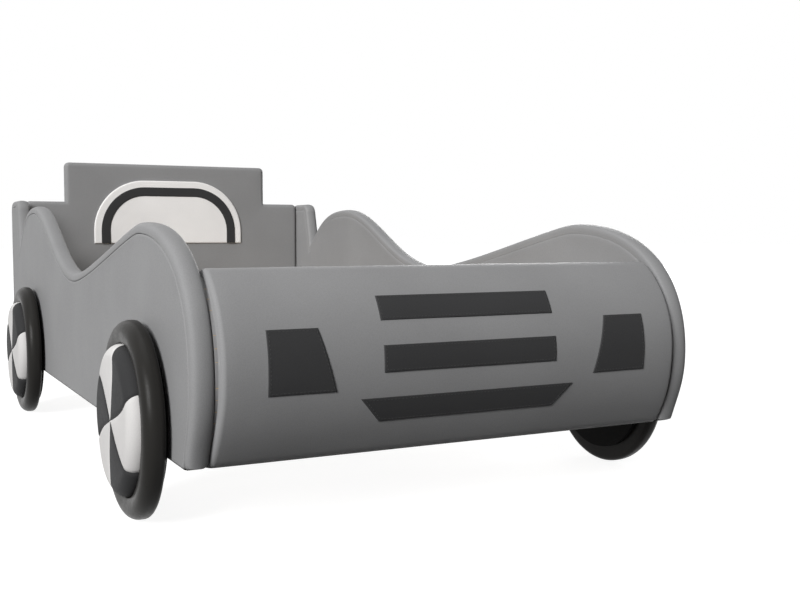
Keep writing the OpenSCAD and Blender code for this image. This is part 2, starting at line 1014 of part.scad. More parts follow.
module bearer_rail(side) {
    color(pine)
        on_side(side)
            difference() {
                translate([rail_inner_x, lining_back + fit, rail_z])
                    cube([rail_t, rail_l, rail_h]);
                for (y = rail_screw_ys)
                    into_side(rail_inner_x, y, rail_z + rail_h / 2)
                        screw_hole(rail_t + over);
                for (y = slat_ys)
                    translate([slat_screw_x, y, rail_top])
                        screw_hole(screw_grip + play);
            }
}

module head_cleat() {
    color(pine)
        difference() {
            translate([-cleat_x, head_board_y - rail_t, rail_z])
                cube([2 * cleat_x, rail_t, rail_h]);
            for (x = cleat_screw_xs)
                into_head(x, head_board_y - rail_t, rail_z + rail_h / 2)
                    screw_hole(rail_t + over);
        }
}

module foot_cleat() {
    color(pine)
        difference() {
            translate([-cleat_x, lining_back, rail_z])
                cube([2 * cleat_x, rail_t, rail_h]);
            for (x = cleat_screw_xs)
                into_front(x, lining_back + rail_t, rail_z + rail_h / 2)
                    screw_hole(rail_t + over);
        }
}

module slats() {
    color(pine)
        for (y = slat_ys)
            difference() {
                translate([-slat_x, y - slat_w / 2, rail_top])
                    cube([2 * slat_x, slat_w, slat_t]);
                for (s = [-1, 1])
                    translate([s * slat_screw_x, y, deck_h - screw_head_t]) {
                        screw_hole(slat_t + over);
                        cylinder(h = screw_head_t + over, r = screw_head_r + play, $fn = round_steps);
                    }
            }
}

module slat_screws() {
    color(steel)
        for (y = slat_ys)
            for (s = [-1, 1])
                translate([s * slat_screw_x, y, deck_h - screw_head_t])
                    screw(slat_t - screw_head_t + screw_grip);
}

module rail_screws() {
    color(steel)
        for (side = ["left", "right"])
            on_side(side)
                for (y = rail_screw_ys)
                    into_side(rail_inner_x, y, rail_z + rail_h / 2)
                        screw(rail_t + screw_grip);
}

module cleat_screws() {
    color(steel)
        for (x = cleat_screw_xs) {
            into_head(x, head_board_y - rail_t, rail_z + rail_h / 2)
                screw(rail_t + screw_grip);
            into_front(x, lining_back + rail_t, rail_z + rail_h / 2)
                screw(rail_t + screw_grip);
        }
}

// Corner brackets

module bracket_place(side, at_head) {
    on_side(side)
        translate([board_x, at_head ? head_board_y : lining_back, bracket_z])
            mirror([0, at_head ? 1 : 0, 0])
                children();
}

module corner_brackets() {
    color(steel)
        for (side = ["left", "right"])
            for (at_head = [false, true])
                bracket_place(side, at_head)
                    difference() {
                        union() {
                            translate([-bracket_l, 0, 0])
                                cube([bracket_l, bracket_t, bracket_h]);
                            translate([-bracket_t, 0, 0])
                                cube([bracket_t, bracket_l, bracket_h]);
                        }
                        for (z = bracket_screw_zs) {
                            into_side(-bracket_t, bracket_screw_l, z - bracket_z)
                                screw_hole(bracket_t + over);
                            into_front(-bracket_screw_l, bracket_t, z - bracket_z)
                                screw_hole(bracket_t + over);
                        }
                    }
}

module bracket_screws() {
    color(steel)
        for (side = ["left", "right"])
            for (at_head = [false, true])
                bracket_place(side, at_head)
                    for (z = bracket_screw_zs) {
                        into_side(-bracket_t, bracket_screw_l, z - bracket_z)
                            screw(bracket_t + screw_grip);
                        into_front(-bracket_screw_l, bracket_t, z - bracket_z)
                            screw(bracket_t + screw_grip);
                    }
}

side_board("right");  // right_side_board
side_outer_pad("right");  // right_side_outer_pad
side_inner_pad("right");  // right_side_inner_pad
side_edge_band("right");  // right_side_edge_band
side_board("left");  // left_side_board
side_outer_pad("left");  // left_side_outer_pad
side_inner_pad("left");  // left_side_inner_pad
side_edge_band("left");  // left_side_edge_band
headboard_board();
headboard_front_pad();
headboard_back_pad();
rear_window_panel();
rear_window_stripe();
front_ribs();
front_back_board();
front_top_batten();
front_bottom_batten();
front_bent_skin();
front_pad();
front_lining();
grille_bar_top();
grille_bar_middle();
grille_bar_bottom();
headlamp("right");  // headlamp_right
headlamp("left");  // headlamp_left
wheel_disc("right", front_wheel_y);  // front_right_wheel_disc
tyre("right", front_wheel_y);  // front_right_tyre
hub_foam("right", front_wheel_y);  // front_right_hub_foam
hub_light_gores("right", front_wheel_y);  // front_right_hub_light_gores
hub_dark_gores("right", front_wheel_y);  // front_right_hub_dark_gores
wheel_disc("left", front_wheel_y);  // front_left_wheel_disc
tyre("left", front_wheel_y);  // front_left_tyre
hub_foam("left", front_wheel_y);  // front_left_hub_foam
hub_light_gores("left", front_wheel_y);  // front_left_hub_light_gores
hub_dark_gores("left", front_wheel_y);  // front_left_hub_dark_gores
wheel_disc("right", hump_y);  // rear_right_wheel_disc
tyre("right", hump_y);  // rear_right_tyre
hub_foam("right", hump_y);  // rear_right_hub_foam
hub_light_gores("right", hump_y);  // rear_right_hub_light_gores
hub_dark_gores("right", hump_y);  // rear_right_hub_dark_gores
wheel_disc("left", hump_y);  // rear_left_wheel_disc
tyre("left", hump_y);  // rear_left_tyre
hub_foam("left", hump_y);  // rear_left_hub_foam
hub_light_gores("left", hump_y);  // rear_left_hub_light_gores
hub_dark_gores("left", hump_y);  // rear_left_hub_dark_gores
wheel_bolts();
wheel_tee_nuts();
bearer_rail("right");  // right_bearer_rail
bearer_rail("left");  // left_bearer_rail
head_cleat();
foot_cleat();
slats();
corner_brackets();
bracket_screws();
rail_screws();
cleat_screws();
slat_screws();
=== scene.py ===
import math

import bpy
import numpy as np
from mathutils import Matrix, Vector, noise
from mathutils.geometry import delaunay_2d_cdt


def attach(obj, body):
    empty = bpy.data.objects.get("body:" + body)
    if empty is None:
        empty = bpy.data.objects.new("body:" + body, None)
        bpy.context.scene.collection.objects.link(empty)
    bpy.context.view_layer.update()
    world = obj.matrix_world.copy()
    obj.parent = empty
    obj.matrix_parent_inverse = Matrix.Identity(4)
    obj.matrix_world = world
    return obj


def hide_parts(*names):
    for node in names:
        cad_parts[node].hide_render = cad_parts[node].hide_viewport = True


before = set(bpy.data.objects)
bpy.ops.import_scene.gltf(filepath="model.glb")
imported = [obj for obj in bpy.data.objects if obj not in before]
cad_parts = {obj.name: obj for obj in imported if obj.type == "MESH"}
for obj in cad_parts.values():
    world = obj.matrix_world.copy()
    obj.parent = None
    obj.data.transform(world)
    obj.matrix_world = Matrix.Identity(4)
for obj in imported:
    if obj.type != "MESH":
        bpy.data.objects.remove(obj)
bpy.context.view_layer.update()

MIRROR = {"left": 1, "right": -1}

# Places of the bed, in metres, as the CAD model has them
BELLY_Y = -0.8905
BAY_FRONT = -0.7725
BAY_REAR = 0.8475
HEAD_BOARD_Y = 0.8565
SEAM_REAR = 0.8745
INNER_X = 0.408
OUTER_X = 0.441
PANEL_X = 0.407
FRONT_X = 0.407
PAD_T = 0.009
SIDE_GAP = 0.111
# Top of the near-black band of painted shade along the lower edge of the grey covers
FOOT_SHADE_TOP = 0.1146
DECK_H = 0.240
BAND_D = 0.018
LINING_T = 0.012
LINING_BACK = BAY_FRONT - LINING_T
NOSE_SET = 0.026
FOOT_SET = 0.034
NOSE_Y = BELLY_Y + NOSE_SET
SIDE_L = SEAM_REAR - NOSE_Y
FENDER_SHARE, DIP_SHARE, HUMP_SHARE, WHEEL_SHARE = 0.159, 0.484, 0.779, 0.135
FENDER_Y = NOSE_Y + FENDER_SHARE * SIDE_L
DIP_Y = NOSE_Y + DIP_SHARE * SIDE_L
HUMP_Y = NOSE_Y + HUMP_SHARE * SIDE_L
FRONT_WHEEL_Y = NOSE_Y + WHEEL_SHARE * SIDE_L
NOSE_H, FENDER_H, DIP_H, HUMP_H = 0.239, 0.462, 0.363, 0.511
POST_H, POST_L, NOTCH_H, NOTCH_SET = 0.534, 0.128, 0.383, 0.032
WHEEL_R = 0.155
SHOULDER_X, SHOULDER_Z, HEAD_TOP_Z = 0.2985, 0.535, 0.647
WHEELS = {"front": FRONT_WHEEL_Y, "rear": HUMP_Y}


# Materials


def new_material(name, rgb, roughness, **settings):
    m = bpy.data.materials.new(name)
    m.use_nodes = True
    tree = m.node_tree
    shader = tree.nodes["Principled BSDF"]
    shader.inputs["Base Color"].default_value = (*rgb, 1)
    shader.inputs["Roughness"].default_value = roughness
    for key, value in settings.items():
        shader.inputs[key.replace("_", " ")].default_value = value
    return m, tree, shader


def linear(c):
    """An sRGB colour in linear light."""
    return tuple(x / 12.92 if x <= 0.04045 else ((x + 0.055) / 1.055) ** 2.4 for x in c)


def node(tree, kind, **values):
    """A new node. Values go to its settings, else to its inputs."""
    n = tree.nodes.new(kind)
    for key, value in values.items():
        if hasattr(n, key) and key not in n.inputs:
            setattr(n, key, value)
        else:
            n.inputs[key.replace("_", " ")].default_value = value
    return n


def ramp(tree, source, stops):
    """A colour ramp with (place, colour) stops, driven by a socket."""
    r = tree.nodes.new("ShaderNodeValToRGB")
    while len(r.color_ramp.elements) < len(stops):
        r.color_ramp.elements.new(0.5)
    for e, (place, colour) in zip(r.color_ramp.elements, stops):
        e.position = place
        e.color = (*colour, 1)
    tree.links.new(source, r.inputs["Fac"])
    return r.outputs["Color"]


def mix_colour(tree, factor, a, b, mode="MIX"):
    """Mixes two colours. Each of factor, a and b is a socket or a value."""
    m = tree.nodes.new("ShaderNodeMix")
    m.data_type = "RGBA"
    m.blend_type = mode
    for socket, value in ((m.inputs[0], factor), (m.inputs[6], a), (m.inputs[7], b)):
        if hasattr(value, "links"):
            tree.links.new(value, socket)
        elif isinstance(value, tuple):
            socket.default_value = (*value, 1)
        else:
            socket.default_value = value
    return m.outputs[2]


def leatherette(name, srgb, roughness, wear_and_highlight, valley_darkening=0.55, gloss=0.10, relief=1.0, shaded_foot=False):
    """Coated fabric: pebbled grain with painted shade in its valleys, soft patches of lighter and
    darker tone, and convex edges made paler, partly as scuffing and partly as a painted highlight.

    Where asked, the covers turn near black along their lower edge: painted shade of their
    underside.
    """
    rgb = linear(srgb)
    m, tree, shader = new_material(name, rgb, roughness)
    shader.inputs["Specular IOR Level"].default_value = gloss
    shader.inputs["IOR"].default_value = 1.38
    link = tree.links.new
    where = node(tree, "ShaderNodeTexCoord").outputs["Object"]
    patches = node(tree, "ShaderNodeTexNoise", Scale=5.5, Detail=3.0)
    pebbles = node(tree, "ShaderNodeTexVoronoi", Scale=620.0, feature="SMOOTH_F1")
    pebbles.inputs["Smoothness"].default_value = 0.35
    folds = node(tree, "ShaderNodeTexNoise", Scale=210.0, Detail=4.0, Roughness=0.62)
    warp = node(tree, "ShaderNodeTexNoise", Scale=85.0, Detail=2.0)
    for t in (patches, folds, warp):
        link(where, t.inputs["Vector"])
    shift = node(tree, "ShaderNodeMixRGB", blend_type="ADD")
    shift.inputs["Fac"].default_value = 0.006
    link(where, shift.inputs["Color1"])
    link(warp.outputs["Color"], shift.inputs["Color2"])
    link(shift.outputs["Color"], pebbles.inputs["Vector"])
    light = tuple(min(1.0, c * 1.05) for c in rgb)
    dark = tuple(c * 0.945 for c in rgb)
    base = ramp(tree, patches.outputs["Fac"], [(0.3, dark), (0.7, light)])
    # Painted shade: the valleys between the pebbles of the grain are darkened.
    valley_shade = ramp(tree, pebbles.outputs["Distance"], [(0.15, (1, 1, 1)), (0.75, (0.86,) * 3)])
    base = mix_colour(tree, valley_darkening, base, valley_shade, "MULTIPLY")
    shape = node(tree, "ShaderNodeNewGeometry")
    # Convex edges turn paler: partly scuffing, partly a painted highlight on the lips.
    rubbed_and_highlit = ramp(tree, shape.outputs["Pointiness"], [(0.52, (0, 0, 0)), (0.60, (wear_and_highlight,) * 3)])
    pale = tuple(c + (0.75 - c) * 0.35 for c in rgb)
    base = mix_colour(tree, rubbed_and_highlit, base, pale)
    # Painted shade: below a set height the cover turns near black, standing in for the shaded
    # underside of its lower edge.
    if shaded_foot:
        split = node(tree, "ShaderNodeSeparateXYZ")
        link(where, split.inputs[0])
        black, plain = (0.02, 0.02, 0.02), (1, 1, 1)
        foot_shade = ramp(tree, split.outputs["Z"], [(FOOT_SHADE_TOP - 0.0004, black), (FOOT_SHADE_TOP, plain)])
        base = mix_colour(tree, 1.0, base, foot_shade, "MULTIPLY")
    link(base, shader.inputs["Base Color"])
    stops = [(0.3, (roughness - 0.05,) * 3), (0.7, (roughness + 0.07,) * 3)]
    rough = ramp(tree, folds.outputs["Fac"], stops)
    link(rough, shader.inputs["Roughness"])
    bump_a = node(tree, "ShaderNodeBump", Strength=0.32 * relief, Distance=0.00035, invert=True)
    bump_b = node(tree, "ShaderNodeBump", Strength=0.22 * relief, Distance=0.0005)
    link(pebbles.outputs["Distance"], bump_a.inputs["Height"])
    link(folds.outputs["Fac"], bump_b.inputs["Height"])
    link(bump_a.outputs["Normal"], bump_b.inputs["Normal"])
    link(bump_b.outputs["Normal"], shader.inputs["Normal"])
    return m


def timber(name, pale, dark, along, rings, roughness, gloss=0.3):
    """Sawn timber whose grain runs along an axis."""
    m, tree, shader = new_material(name, linear(pale), roughness, Specular_IOR_Level=gloss)
    link = tree.links.new
    where = node(tree, "ShaderNodeTexCoord").outputs["Object"]
    shape = node(tree, "ShaderNodeNewGeometry")
    place = node(tree, "ShaderNodeMapping")
    scale = [rings, rings, rings]
    scale["XYZ".index(along)] = rings * 0.05
    place.inputs["Scale"].default_value = scale
    offset = node(tree, "ShaderNodeVectorMath", operation="SCALE")
    spread = node(tree, "ShaderNodeCombineXYZ")
    for axis in "XYZ":
        link(shape.outputs["Random Per Island"], spread.inputs[axis])
    link(spread.outputs["Vector"], offset.inputs[0])
    offset.inputs["Scale"].default_value = 7.3
    add = node(tree, "ShaderNodeVectorMath", operation="ADD")
    link(where, add.inputs[0])
    link(offset.outputs["Vector"], add.inputs[1])
    link(add.outputs["Vector"], place.inputs["Vector"])
    figure = node(tree, "ShaderNodeTexNoise", Scale=1.0, Detail=5.0, Roughness=0.55, Distortion=0.6)
    fibre = node(tree, "ShaderNodeTexNoise", Scale=9.0, Detail=3.0, Roughness=0.7)
    for t in (figure, fibre):
        link(place.outputs["Vector"], t.inputs["Vector"])
    pale, dark = linear(pale), linear(dark)
    late = tuple(c * 0.86 for c in pale)
    colour = ramp(tree, figure.outputs["Fac"], [(0.36, dark), (0.5, pale), (0.62, late)])
    lines = ramp(tree, fibre.outputs["Fac"], [(0.35, (0.86, 0.84, 0.80)), (0.6, (1, 1, 1))])
    colour = mix_colour(tree, 0.6, colour, lines, "MULTIPLY")
    island = shape.outputs["Random Per Island"]
    tone = ramp(tree, island, [(0.0, (0.90, 0.88, 0.85)), (1.0, (1, 1, 1))])
    colour = mix_colour(tree, 1.0, colour, tone, "MULTIPLY")
    link(colour, shader.inputs["Base Color"])
    bump = node(tree, "ShaderNodeBump", Strength=0.25, Distance=0.0006)
    link(fibre.outputs["Fac"], bump.inputs["Height"])
    link(bump.outputs["Normal"], shader.inputs["Normal"])
    return m


def zinc(name):
    """Bright zinc plate with a faint mottle."""
    m, tree, shader = new_material(name, linear((0.72, 0.73, 0.75)), 0.34, Metallic=1.0)
    link = tree.links.new
    where = node(tree, "ShaderNodeTexCoord").outputs["Object"]
    mottle = node(tree, "ShaderNodeTexNoise", Scale=160.0, Detail=3.0)
    link(where, mottle.inputs["Vector"])
    dull, bright = linear((0.66, 0.67, 0.68)), linear((0.76, 0.76, 0.77))
    tint = ramp(tree, mottle.outputs["Fac"], [(0.35, dull), (0.65, bright)])
    link(tint, shader.inputs["Base Color"])
    rough = ramp(tree, mottle.outputs["Fac"], [(0.3, (0.28,) * 3), (0.7, (0.42,) * 3)])
    link(rough, shader.inputs["Roughness"])
    return m


def foam_material(name):
    """Open-celled foam."""
    m, tree, shader = new_material(name, linear((0.93, 0.90, 0.80)), 0.9)
    where = node(tree, "ShaderNodeTexCoord").outputs["Object"]
    cells = node(tree, "ShaderNodeTexVoronoi", Scale=900.0)
    tree.links.new(where, cells.inputs["Vector"])
    bump = node(tree, "ShaderNodeBump", Strength=0.5, Distance=0.0006)
    tree.links.new(cells.outputs["Distance"], bump.inputs["Height"])
    tree.links.new(bump.outputs["Normal"], shader.inputs["Normal"])
    return m


def thread_material(name, srgb):
    """Twisted sewing thread."""
    rgb = linear(srgb)
    m, tree, shader = new_material(name, rgb, 0.55)
    where = node(tree, "ShaderNodeTexCoord").outputs["Object"]
    twist = node(tree, "ShaderNodeTexNoise", Scale=1800.0, Detail=1.0)
    tree.links.new(where, twist.inputs["Vector"])
    tint = ramp(tree, twist.outputs["Fac"], [(0.35, tuple(c * 0.75 for c in rgb)), (0.65, rgb)])
    tree.links.new(tint, shader.inputs["Base Color"])
    return m


# Near-black painted shade along the lower edge of the grey covers.
# Strongly paled convex lips: a painted highlight over a little scuffing.
GREY = leatherette("grey leatherette", (0.565, 0.565, 0.568), 0.54, wear_and_highlight=0.30, shaded_foot=True)
DARK = leatherette("dark leatherette", (0.235, 0.235, 0.238), 0.56, wear_and_highlight=0.05)
HUB_DARK = leatherette("hub dark leatherette", (0.225, 0.225, 0.228), 0.56, wear_and_highlight=0.03, gloss=0.05)
TYRE = leatherette(
    "tyre leatherette", (0.160, 0.156, 0.150), 0.32, wear_and_highlight=0.03, valley_darkening=0.25, gloss=0.11, relief=0.35
)
LIGHT = leatherette("light leatherette", (0.955, 0.948, 0.943), 0.55, wear_and_highlight=0.0, valley_darkening=0.2)
HUB_LIGHT = leatherette("hub light leatherette", (0.820, 0.813, 0.808), 0.55, wear_and_highlight=0.0, valley_darkening=0.3)
PLY = timber("plywood", (0.80, 0.68, 0.50), (0.66, 0.52, 0.35), "Y", 42.0, 0.6)
PLY_X = timber("front plywood", (0.80, 0.68, 0.50), (0.66, 0.52, 0.35), "X", 42.0, 0.6)
BLACK_PLY = timber("black plywood", (0.05,) * 3, (0.035,) * 3, "Y", 42.0, 0.75, 0.08)
PINE_X = timber("pine across", (0.83, 0.77, 0.68), (0.69, 0.59, 0.46), "X", 30.0, 0.5)
PINE_Y = timber("pine along", (0.83, 0.77, 0.68), (0.69, 0.59, 0.46), "Y", 30.0, 0.5)
STEEL = zinc("zinc plate")
FOAM = foam_material("foam")
GREY_THREAD = thread_material("grey thread", (0.52, 0.52, 0.52))
DARK_THREAD = thread_material("dark thread", (0.17, 0.17, 0.17))


# Meshes

# Height of a row of even-sided triangles
TRIANGLE_ROW = 0.87


def piece(name, verts, faces, material, nodes=(), sharp=40):
    """A visible piece in place of the CAD nodes. Edges over sharp degrees stay sharp."""
    mesh = bpy.data.meshes.new(name)
    mesh.from_pydata([tuple(v) for v in verts], [], [tuple(f) for f in faces])
    mesh.validate()
    mesh.update()
    mesh.shade_smooth()
    mesh.set_sharp_from_angle(angle=math.radians(sharp))
    mesh.materials.append(material)
    o = bpy.data.objects.new(name, mesh)
    bpy.context.scene.collection.objects.link(o)
    make_outward(mesh)
    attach(o, "root")
    if nodes:
        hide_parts(*nodes)
    return o


def make_outward(mesh):
    """Turns the faces of a closed mesh outwards."""
    volume = 0.0
    for f in mesh.polygons:
        c = [mesh.vertices[i].co for i in f.vertices]
        for i in range(1, len(c) - 1):
            volume += c[0].dot(c[i].cross(c[i + 1]))
    if volume < 0:
        mesh.flip_normals()


def bezier(a, b, c, d, steps):
    a, b, c, d = (np.array(p, float) for p in (a, b, c, d))
    t = np.arange(steps)[:, None] / steps
    s = 1 - t
    return a * s**3 + 3 * b * s * s * t + 3 * c * s * t * t + d * t**3


def arc(centre, radius, start, end, steps):
    """Points on an arc between two angles in degrees."""
    a = np.radians(np.linspace(start, end, steps + 1))
    return np.array(centre) + radius * np.stack([np.cos(a), np.sin(a)], 1)


def side_path():
    """The seam of a side panel from the front foot over the top to the rear foot."""
    foot = np.array([NOSE_Y + FOOT_SET, SIDE_GAP])
    nose = np.array([NOSE_Y, NOSE_H])
    fender = np.array([FENDER_Y, FENDER_H - BAND_D])
    dip = np.array([DIP_Y, DIP_H - BAND_D])
    hump = np.array([HUMP_Y, HUMP_H - BAND_D])
    top = POST_H - BAND_D
    front = SEAM_REAR - (POST_L - 2 * BAND_D)
    notch = np.array([front - NOTCH_SET, NOTCH_H])
    rise, climb = nose[1] - foot[1], fender[1] - nose[1]
    to_fender, to_dip, to_hump = FENDER_Y - NOSE_Y, DIP_Y - FENDER_Y, HUMP_Y - DIP_Y
    to_notch = notch[0] - hump[0]
    slope = math.radians(37)
    uphill = np.array([-math.cos(slope), math.sin(slope)])
    r = 0.012
    return np.concatenate(
        [
            bezier(foot, foot + [-0.35 * FOOT_SET, 0.35 * rise], nose - [0, 0.47 * rise], nose, 18),
            bezier(nose, nose + [0, 0.49 * climb], fender - [0.77 * to_fender, 0], fender, 40),
            bezier(fender, fender + [0.11 * to_dip, 0], dip - [0.22 * to_dip, 0], dip, 54),
            bezier(dip, dip + [0.45 * to_hump, 0], hump - [0.33 * to_hump, 0], hump, 50),
            bezier(hump, hump + [0.56 * to_notch, 0], notch + 0.41 * to_notch * uphill, notch, 26),
            [notch],
            [notch + (np.array([front, top - r]) - notch) * k / 10 for k in range(1, 10)],
            arc([front + r, top - r], r, 180, 90, 6),
            arc([SEAM_REAR - r, top - r], r, 90, 0, 6),
            [[SEAM_REAR, top - r + (SIDE_GAP - top + r) * k / 20] for k in range(1, 21)],
        ]
    )


def unit(v):
    return v / np.maximum(np.linalg.norm(v, axis=-1, keepdims=True), 1e-12)


def outward(path, closed):
    """Directions square to a path, on its left, stretched at bends."""
    d = unit(np.roll(path, -1, 0) - path)
    n = np.stack([-d[:, 1], d[:, 0]], 1)
    before, after = np.roll(n, 1, 0), n.copy()
    if not closed:
        before[0], after[-1] = n[0], n[-2]
    s = before + after
    return s / (1 + (before * after).sum(1))[:, None]


def distances(points, loop):
    """Distance of points from a closed loop, and whether they lie inside it."""
    a, b = loop, np.roll(loop, -1, 0)
    v = b - a
    best = np.full(len(points), 1e9)
    inside = np.zeros(len(points), bool)
    for p, q, w in zip(a, b, v):
        t = np.clip(((points - p) @ w) / max(w @ w, 1e-18), 0, 1)
        best = np.minimum(best, np.linalg.norm(points - p - t[:, None] * w, axis=1))
        crosses = (p[1] > points[:, 1]) != (q[1] > points[:, 1])
        with np.errstate(divide="ignore", invalid="ignore"):
            x = p[0] + (points[:, 1] - p[1]) / (q[1] - p[1]) * w[0]
        inside ^= crosses & (points[:, 0] < x)
    return best, inside


def area2(loop):
    """Twice the signed area of a closed loop."""
    q = np.roll(loop, -1, 0)
    return (loop[:, 0] * q[:, 1] - loop[:, 1] * q[:, 0]).sum()


def cover(loop, rings, place, spacing, height):
    """A closed pad. Its edge runs through rings (inset, height) of a flat loop.

    Its face is filled with points that are spacing apart.
    place(a, b, h) turns flat places and heights into points in the row frame.
    height(a, b, d) adds to the face's height at a distance d from the last ring.
    """
    loop = np.array(loop, float)
    if area2(loop) < 0:
        loop = loop[::-1]
    inward = outward(loop, True)
    n = len(loop)
    verts, faces = [], []
    flats = []
    for inset, h in rings:
        ring = loop + inset * inward
        flats.append(ring)
        verts += list(place(ring[:, 0], ring[:, 1], np.full(n, h)))
    for j in range(len(rings) - 1):
        for i in range(n):
            k = (i + 1) % n
            faces.append((j * n + i, j * n + k, (j + 1) * n + k, (j + 1) * n + i))
    faces.append(tuple(range(n - 1, -1, -1)))
    edge = flats[-1]
    low, high = edge.min(0), edge.max(0)
    a, b = np.meshgrid(
        np.arange(low[0] + spacing / 2, high[0], spacing),
        np.arange(low[1] + spacing / 2, high[1], spacing * TRIANGLE_ROW),
        indexing="ij",
    )
    a[:, 1::2] += spacing / 2
    inner = np.stack([a.ravel(), b.ravel()], 1)
    d, inside = distances(inner, edge)
    inner = inner[inside & (d > spacing * 0.45)]
    points = [Vector(p) for p in np.concatenate([edge, inner])]
    loops = [(i, (i + 1) % n) for i in range(n)]
    out_v, _, out_f, origin, _, _ = delaunay_2d_cdt(points, loops, [], 1, 1e-7)
    flat = np.array([tuple(v) for v in out_v])
    d, _ = distances(flat, edge)
    start = (len(rings) - 1) * n
    index = {}
    extra = []
    for k, source in enumerate(origin):
        ring_point = [s for s in source if s < n]
        if ring_point:
            index[k] = start + ring_point[0]
        else:
            index[k] = len(verts) + len(extra)
            extra.append(k)
    if extra:
        e = np.array(extra)
        h = rings[-1][1] + height(flat[e, 0], flat[e, 1], d[e])
        verts += list(place(flat[e, 0], flat[e, 1], h))
    for f in out_f:
        faces.append(tuple(index[i] for i in f))
    return verts, faces


def rounded(radius_in, radius_out, depth, steps, start=0.0):
    """Rings of a rounded edge that ends at a height of depth."""
    out = []
    for i in range(steps + 1):
        a = math.pi / 2 * i / steps
        out.append((start + radius_in * (1 - math.cos(a)), depth - radius_out * (1 - math.sin(a))))
    return out


def ripple(points, scale, amount, seed):
    """Soft unevenness of foam under its cover."""
    places = [Vector((p[0] / scale + seed, p[1] / scale, p[2] / scale - seed)) for p in points]
    return np.array([amount * noise.noise(v) for v in places])


def swept_grid(rows, cols, closed_rows=False, closed_cols=False):
    """Quads between the points of rows that follow each other."""
    faces = []
    for i in range(rows if closed_rows else rows - 1):
        for j in range(cols if closed_cols else cols - 1):
            a, b = i, (i + 1) % rows
            c, d = j, (j + 1) % cols
            faces.append((a * cols + c, a * cols + d, b * cols + d, b * cols + c))
    return faces


def stitches(name, path, normals, material, length=0.0036, gap=0.0024, radius=0.00042):
    """Single threads along a seam: short rounded dashes that dip into the cover at both ends."""
    path, normals = np.array(path), np.array(normals)
    seg = np.linalg.norm(np.diff(path, axis=0), axis=1)
    at = np.concatenate([[0], np.cumsum(seg)])
    count = int(at[-1] / (length + gap))
    verts, faces = [], []
    # Share of the length, thickness and lift, from end to end
    profile = [(-0.5, 0.05, -0.7), (-0.36, 0.85, 0.1), (0.0, 1.0, 0.35)]
    profile += [(-share, size, lift) for share, size, lift in reversed(profile[:2])]
    sides = 5
    for k in range(count):
        s = (k + 0.5) * at[-1] / count
        ends = [s - length / 2, s + length / 2]
        p = [np.array([np.interp(e, at, path[:, c]) for c in range(3)]) for e in ends]
        n = unit(np.array([np.interp(s, at, normals[:, c]) for c in range(3)]))
        along = p[1] - p[0]
        mid = (p[0] + p[1]) / 2
        across = unit(np.cross(n, along))
        base = len(verts)
        for share, size, lift in profile:
            c = mid + share * along + n * radius * lift
            for q in range(sides):
                a = 2 * math.pi * q / sides
                verts.append(c + radius * size * (math.cos(a) * across + math.sin(a) * n))
        for r in range(len(profile) - 1):
            start = base + r * sides
            for q in range(sides):
                w = (q + 1) % sides
                faces.append((start + q, start + w, start + sides + w, start + sides + q))
        faces.append(tuple(base + q for q in range(sides - 1, -1, -1)))
        last = base + sides * (len(profile) - 1)
        faces.append(tuple(last + q for q in range(sides)))
    return piece(name, verts, faces, material, sharp=80)


# Side panels

PATH = side_path()
OUT = outward(PATH, False)
OUT[0] = [1 / OUT[0][0], 0]
OUT[-1] = [1 / OUT[-1][0], 0]


def near_wheel(y, z, inner=0.150, outer=0.185):
    """0 where a wheel disc presses on the panel, 1 away from it."""
    share = np.ones(len(y))
    for wheel_y in WHEELS.values():
        r = np.hypot(y - wheel_y, z - WHEEL_R)
        t = np.clip((r - inner) / (outer - inner), 0, 1)
        share = np.minimum(share, t * t * (3 - 2 * t))
    return share


def seam_depth(z):
    """Share of the outer seam's depth: full at the nose, shallow on the crests."""
    return 0.35 + 0.65 * np.clip((0.36 - z) / 0.12, 0, 1)


